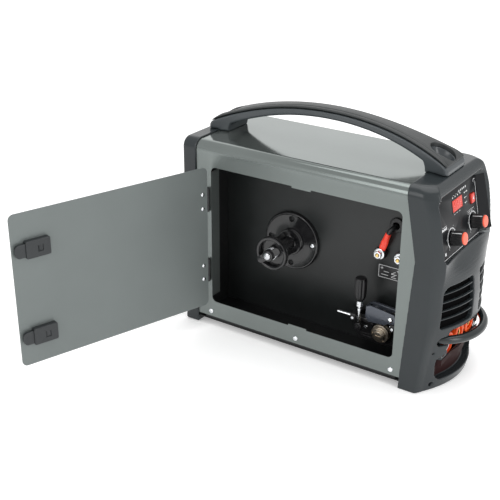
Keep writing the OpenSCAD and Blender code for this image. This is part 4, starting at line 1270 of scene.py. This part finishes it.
finish(sleeve(), "sleeve_red", stands_for=["lug_sleeve"])
grommet = turned("grommet_ring", [
    (5, 0.6), (5.6, 0), (8.4, 0), (10.4, 0.9), (11, 2.4), (11, 4), (8.4, 4), (8.4, 5.5), (11, 5.5), (11, 7.5),
    (5, 7.5), (5, 0.6)], (113.6, -13, 193), (0, 1, 0))
finish(grommet, "lead_black", stands_for=["cable_grommet"])

label = plate_y("label_plate", rounded((89, 108), (143, 129), 2), -9.55, -9.02, 0.1)
finish(label, "label_black", stands_for=["terminal_label"])


def label_mark(low, high):
    return block("mark", (low[0], -9.63, low[1]), (high[0], -9.56, high[1]))


label_prints = [label_mark((90, 127.3), (142, 128)), label_mark((90, 109), (142, 109.7)),
                label_mark((90, 109), (90.7, 128)), label_mark((141.3, 109), (142, 128))]
for x in (95, 120):
    label_prints += [label_mark((x - 2, 123.2), (x + 2, 124)), label_mark((x - 0.4, 121.6), (x + 0.4, 125.6))]
for row, (first, last) in enumerate(((98, 106), (94, 105))):
    z = 118.5 - 5 * row
    label_prints += [label_mark((first, z), (last, z + 0.8)), label_mark((110, z - 1.6), (118, z - 0.9)),
                     placed(label_mark((110, z), (117, z + 0.8)), about((112, 0, z), "Y", -32)),
                     label_mark((124, z), (134, z + 0.8))]
finish(merge("label_marks", *label_prints), "print_and_painted_highlight")
print("terminals made")

# %% [markdown]
# The door latches are flat mouldings on the inside of the door, so they are
# modelled with the door closed and then swung open about the hinge. A hollow
# housing guides a tongue with rounded corners; a shank through the door ends
# in a thumb pad with ribs. The small U on the housing is a moulded groove.

# %% Door latches, hinge studs and cover screws
door_swing = about((-150.5, -88.5, 0), "Z", -108.8)
DOOR_IN, DOOR_OUT = -85.6, -86.8


def latch(z, body, stands_for):
    outer = rounded((104.5, z - 12.2), (139, z + 12.2), 2)
    housing = loft("latch_housing", [(DOOR_IN, outer), (DOOR_IN + 7, outer),
                                     (DOOR_IN + 7.6, rounded((105.1, z - 11.6), (138.4, z + 11.6), 1.6))],
                   "y")
    subtract(housing, block("cut", (106.5, DOOR_IN + 1, z - 9.9), (141, DOOR_IN + 5.9, z + 9.9)),
             block("cut", (117.5, DOOR_IN - 1, z - 5.5), (132.5, DOOR_IN + 3, z + 5.5)))
    for low, high in (((115, z - 4.8), (123, z - 3.2)), ((115, z - 4.8), (116.6, z + 4)),
                      ((121.4, z - 4.8), (123, z + 4))):
        subtract(housing, block("cut", (low[0], DOOR_IN + 6.5, low[1]), (high[0], DOOR_IN + 9, high[1])))
    soften(housing, 0.25, 2, 50)
    tongue = rounded((110.5, z - 9.4), (153.2, z + 9.4), [0.1, 6, 6, 0.1])
    tip = prism("tongue", tongue, DOOR_IN + 2.5, DOOR_IN + 5.7, "y")
    soften(tip, 0.6, 2, 50)
    shank = block("shank", (118, DOOR_OUT - 0.6, z - 5), (124, DOOR_IN + 3.2, z + 5), 0.3)
    pad = soften(loft("pad", [(DOOR_OUT - 3.4, rounded((112.6, z - 9.4), (129.4, z + 9.4), 2.8)),
                              (DOOR_OUT - 0.4, rounded((112, z - 10), (130, z + 10), 3))], "y"), 0.5)
    ribs = [block("rib", (116 + 3 * i, DOOR_OUT - 3.5, z - 7), (117.2 + 3 * i, DOOR_OUT - 3.2, z + 7), 0.12)
            for i in range(4)]
    finish(placed(housing, door_swing), "latch_plastic", "door")
    bolt = merge("latch_bolt_tongue", tip, shank, pad, *ribs)
    finish(placed(bolt, door_swing), "latch_plastic", body, stands_for)
    return housing


lower = latch(72, "lower_latch", ["latch_bolt_lower"])
latch(198, "upper_latch", ["latch_bolt_upper"])
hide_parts("latch_housings")
studs = []
for z in (84.5, 197):
    for step in (-11, 11):
        stud = turned("rivet", [(0, 1.15), (1.4, 1.1), (2.5, 0.7), (3, 0), (1.6, 0), (1.6, -1.2), (1.6, -2.4),
                                (3, -2.4), (2.6, -3.1), (1.4, -3.5), (0, -3.6)],
                      (-140, DOOR_IN, z + step), (0, 1, 0), 32)
        studs.append(placed(stud, door_swing))
finish(merge("door_rivet_heads", *studs), "bright_screws", "door", ["door_rivets"])

for x in (-149, 1, 153):
    for side in (-1, 1):
        pan_screw("cover_screw", (x, side * 85.02, 14.5), (0, side, 0), 3.9)
for side in (-1, 1):
    for z in (40, 240):
        pan_screw("bezel_screw", (-196.9, side * 77, z), (-1, 0, 0), 3.2)
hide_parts("case_screws")
print("latches and screws made")

# %% [markdown]
# The back carries the fan behind its slots, the mains switch, the cable
# gland and the gas inlet. The fan's seven blades are twisted sheets, set
# round a domed motor cap. The gland is turned, with a ribbed dome nut on a
# hexagonal base, and the gas inlet is a barbed brass tube. The rocker is a
# bevelled plate on a pivot, with a line and a ring printed on it.

# %% Fan, switch, gland and gas inlet
FAN = (38, 185)
FAN_X = -170.5
GLAND = (18, 55)


def blade(name, turn0):
    def place(across, along):
        r = 14.5 + 21 * (across % 13) / 12 if across < 13 else 35.5 - 21 * (across - 13) / 12
        thick = 0.6 if across < 13 else -0.6
        spread = (along / 10 - 0.5) * math.radians(40 - 8 * (r - 14) / 21)
        turn = turn0 + spread + math.radians(0.6 * (r - 14))
        depth = 11.5 + (along / 10 - 0.5) * (14.5 - 5 * (r - 14) / 21)
        return FAN_X + depth + thick, FAN[0] + r * math.cos(turn), FAN[1] + r * math.sin(turn)

    return smoothed(sheet(name, 25, 10, place), 50)


rotor_cap = turned("fan_rotor_cap", [
    (1.58, 18), (1.58, 5.1), (3, 4.4), (11, 4), (13.6, 4.6), (14.8, 6.2), (15, 8), (15, 20), (12, 20),
    (12, 18), (1.58, 18)], (FAN_X, *FAN), (1, 0, 0))
rotor = merge("fan_rotor_cap", rotor_cap, *[blade("blade", math.tau * i / 7) for i in range(7)])
finish(rotor, "fan_black", "fan", ["fan_rotor"])

gland = turned("mains_gland_body", [
    (5, 17), (6.6, 17), (8.6, 15.8), (9.9, 13), (10, 6), (10.4, 6), (11.4, 5.4), (11.8, 4.6), (11.8, 0),
    (8, 0), (8, -1.5), (8, -14), (5, -14), (5, 17)], (-172, *GLAND), (-1, 0, 0))
ribs = []
for i in range(12):
    rib = block("rib", (-186.5, 27.2, 54.2), (-178.5, 28.6, 55.8), 0.35)
    ribs.append(placed(rib, about((0, *GLAND), "X", 30 * i)))
inner_nut = rod("nut", (-170.5, *GLAND), (-165.5, *GLAND), 12, sides=6, edge=0.6)
subtract(inner_nut, cut_rod("x", -172, -164, *GLAND, 7.9))
finish(merge("mains_gland_body", gland, inner_nut, *ribs), "gland_black", stands_for=["mains_gland"])

barb = [(2.4, 18), (3.2, 18), (4, 15.5), (3.3, 15.3), (4, 12.8), (3.3, 12.6), (4, 10.1), (3.3, 9.9), (3.6, 6),
        (4.8, 5.6), (4.8, 0), (2.4, 0), (2.4, 18)]
hose_tail = turned("gas_inlet_tail", barb, (-172, 58, 55), (-1, 0, 0), 48)
finish(hose_tail, "brass")

toggle = plate_y("rocker_body", [(4, -10), (-4.5, -11), (-3.1, -5), (-2.2, 0), (-3.1, 5), (-4.5, 11), (4, 10),
                                 (6, 0)], -8, 8, 0.5)
pivot = rod("pivot", (0, -9.6, 0), (0, 9.6, 0), 1.5)
on_mark = placed(block("mark", (-3.7, -0.4, 3.4), (-3.2, 0.4, 7.6)), about((-3.35, 0, 5.5), "Y", -12))
off_mark = turned("mark", [(1.6, 0), (2.2, 0), (2.2, 0.4), (1.6, 0.4), (1.6, 0)], (0, 0, 0), (-1, 0, 0), 32)
placed(off_mark, shift(x=-3.25, z=-5.5) @ Matrix.Rotation(math.radians(12), 4, "Y"))
rocker_place = shift(-174, 38, 244) @ Matrix.Rotation(math.radians(-10), 4, "Y")
finish(placed(merge("rocker_body", toggle, pivot), rocker_place), "button_red", "rocker", ["power_rocker"])
finish(placed(merge("rocker_marks", on_mark, off_mark), rocker_place), "print_and_painted_highlight", "rocker")
print("back made")
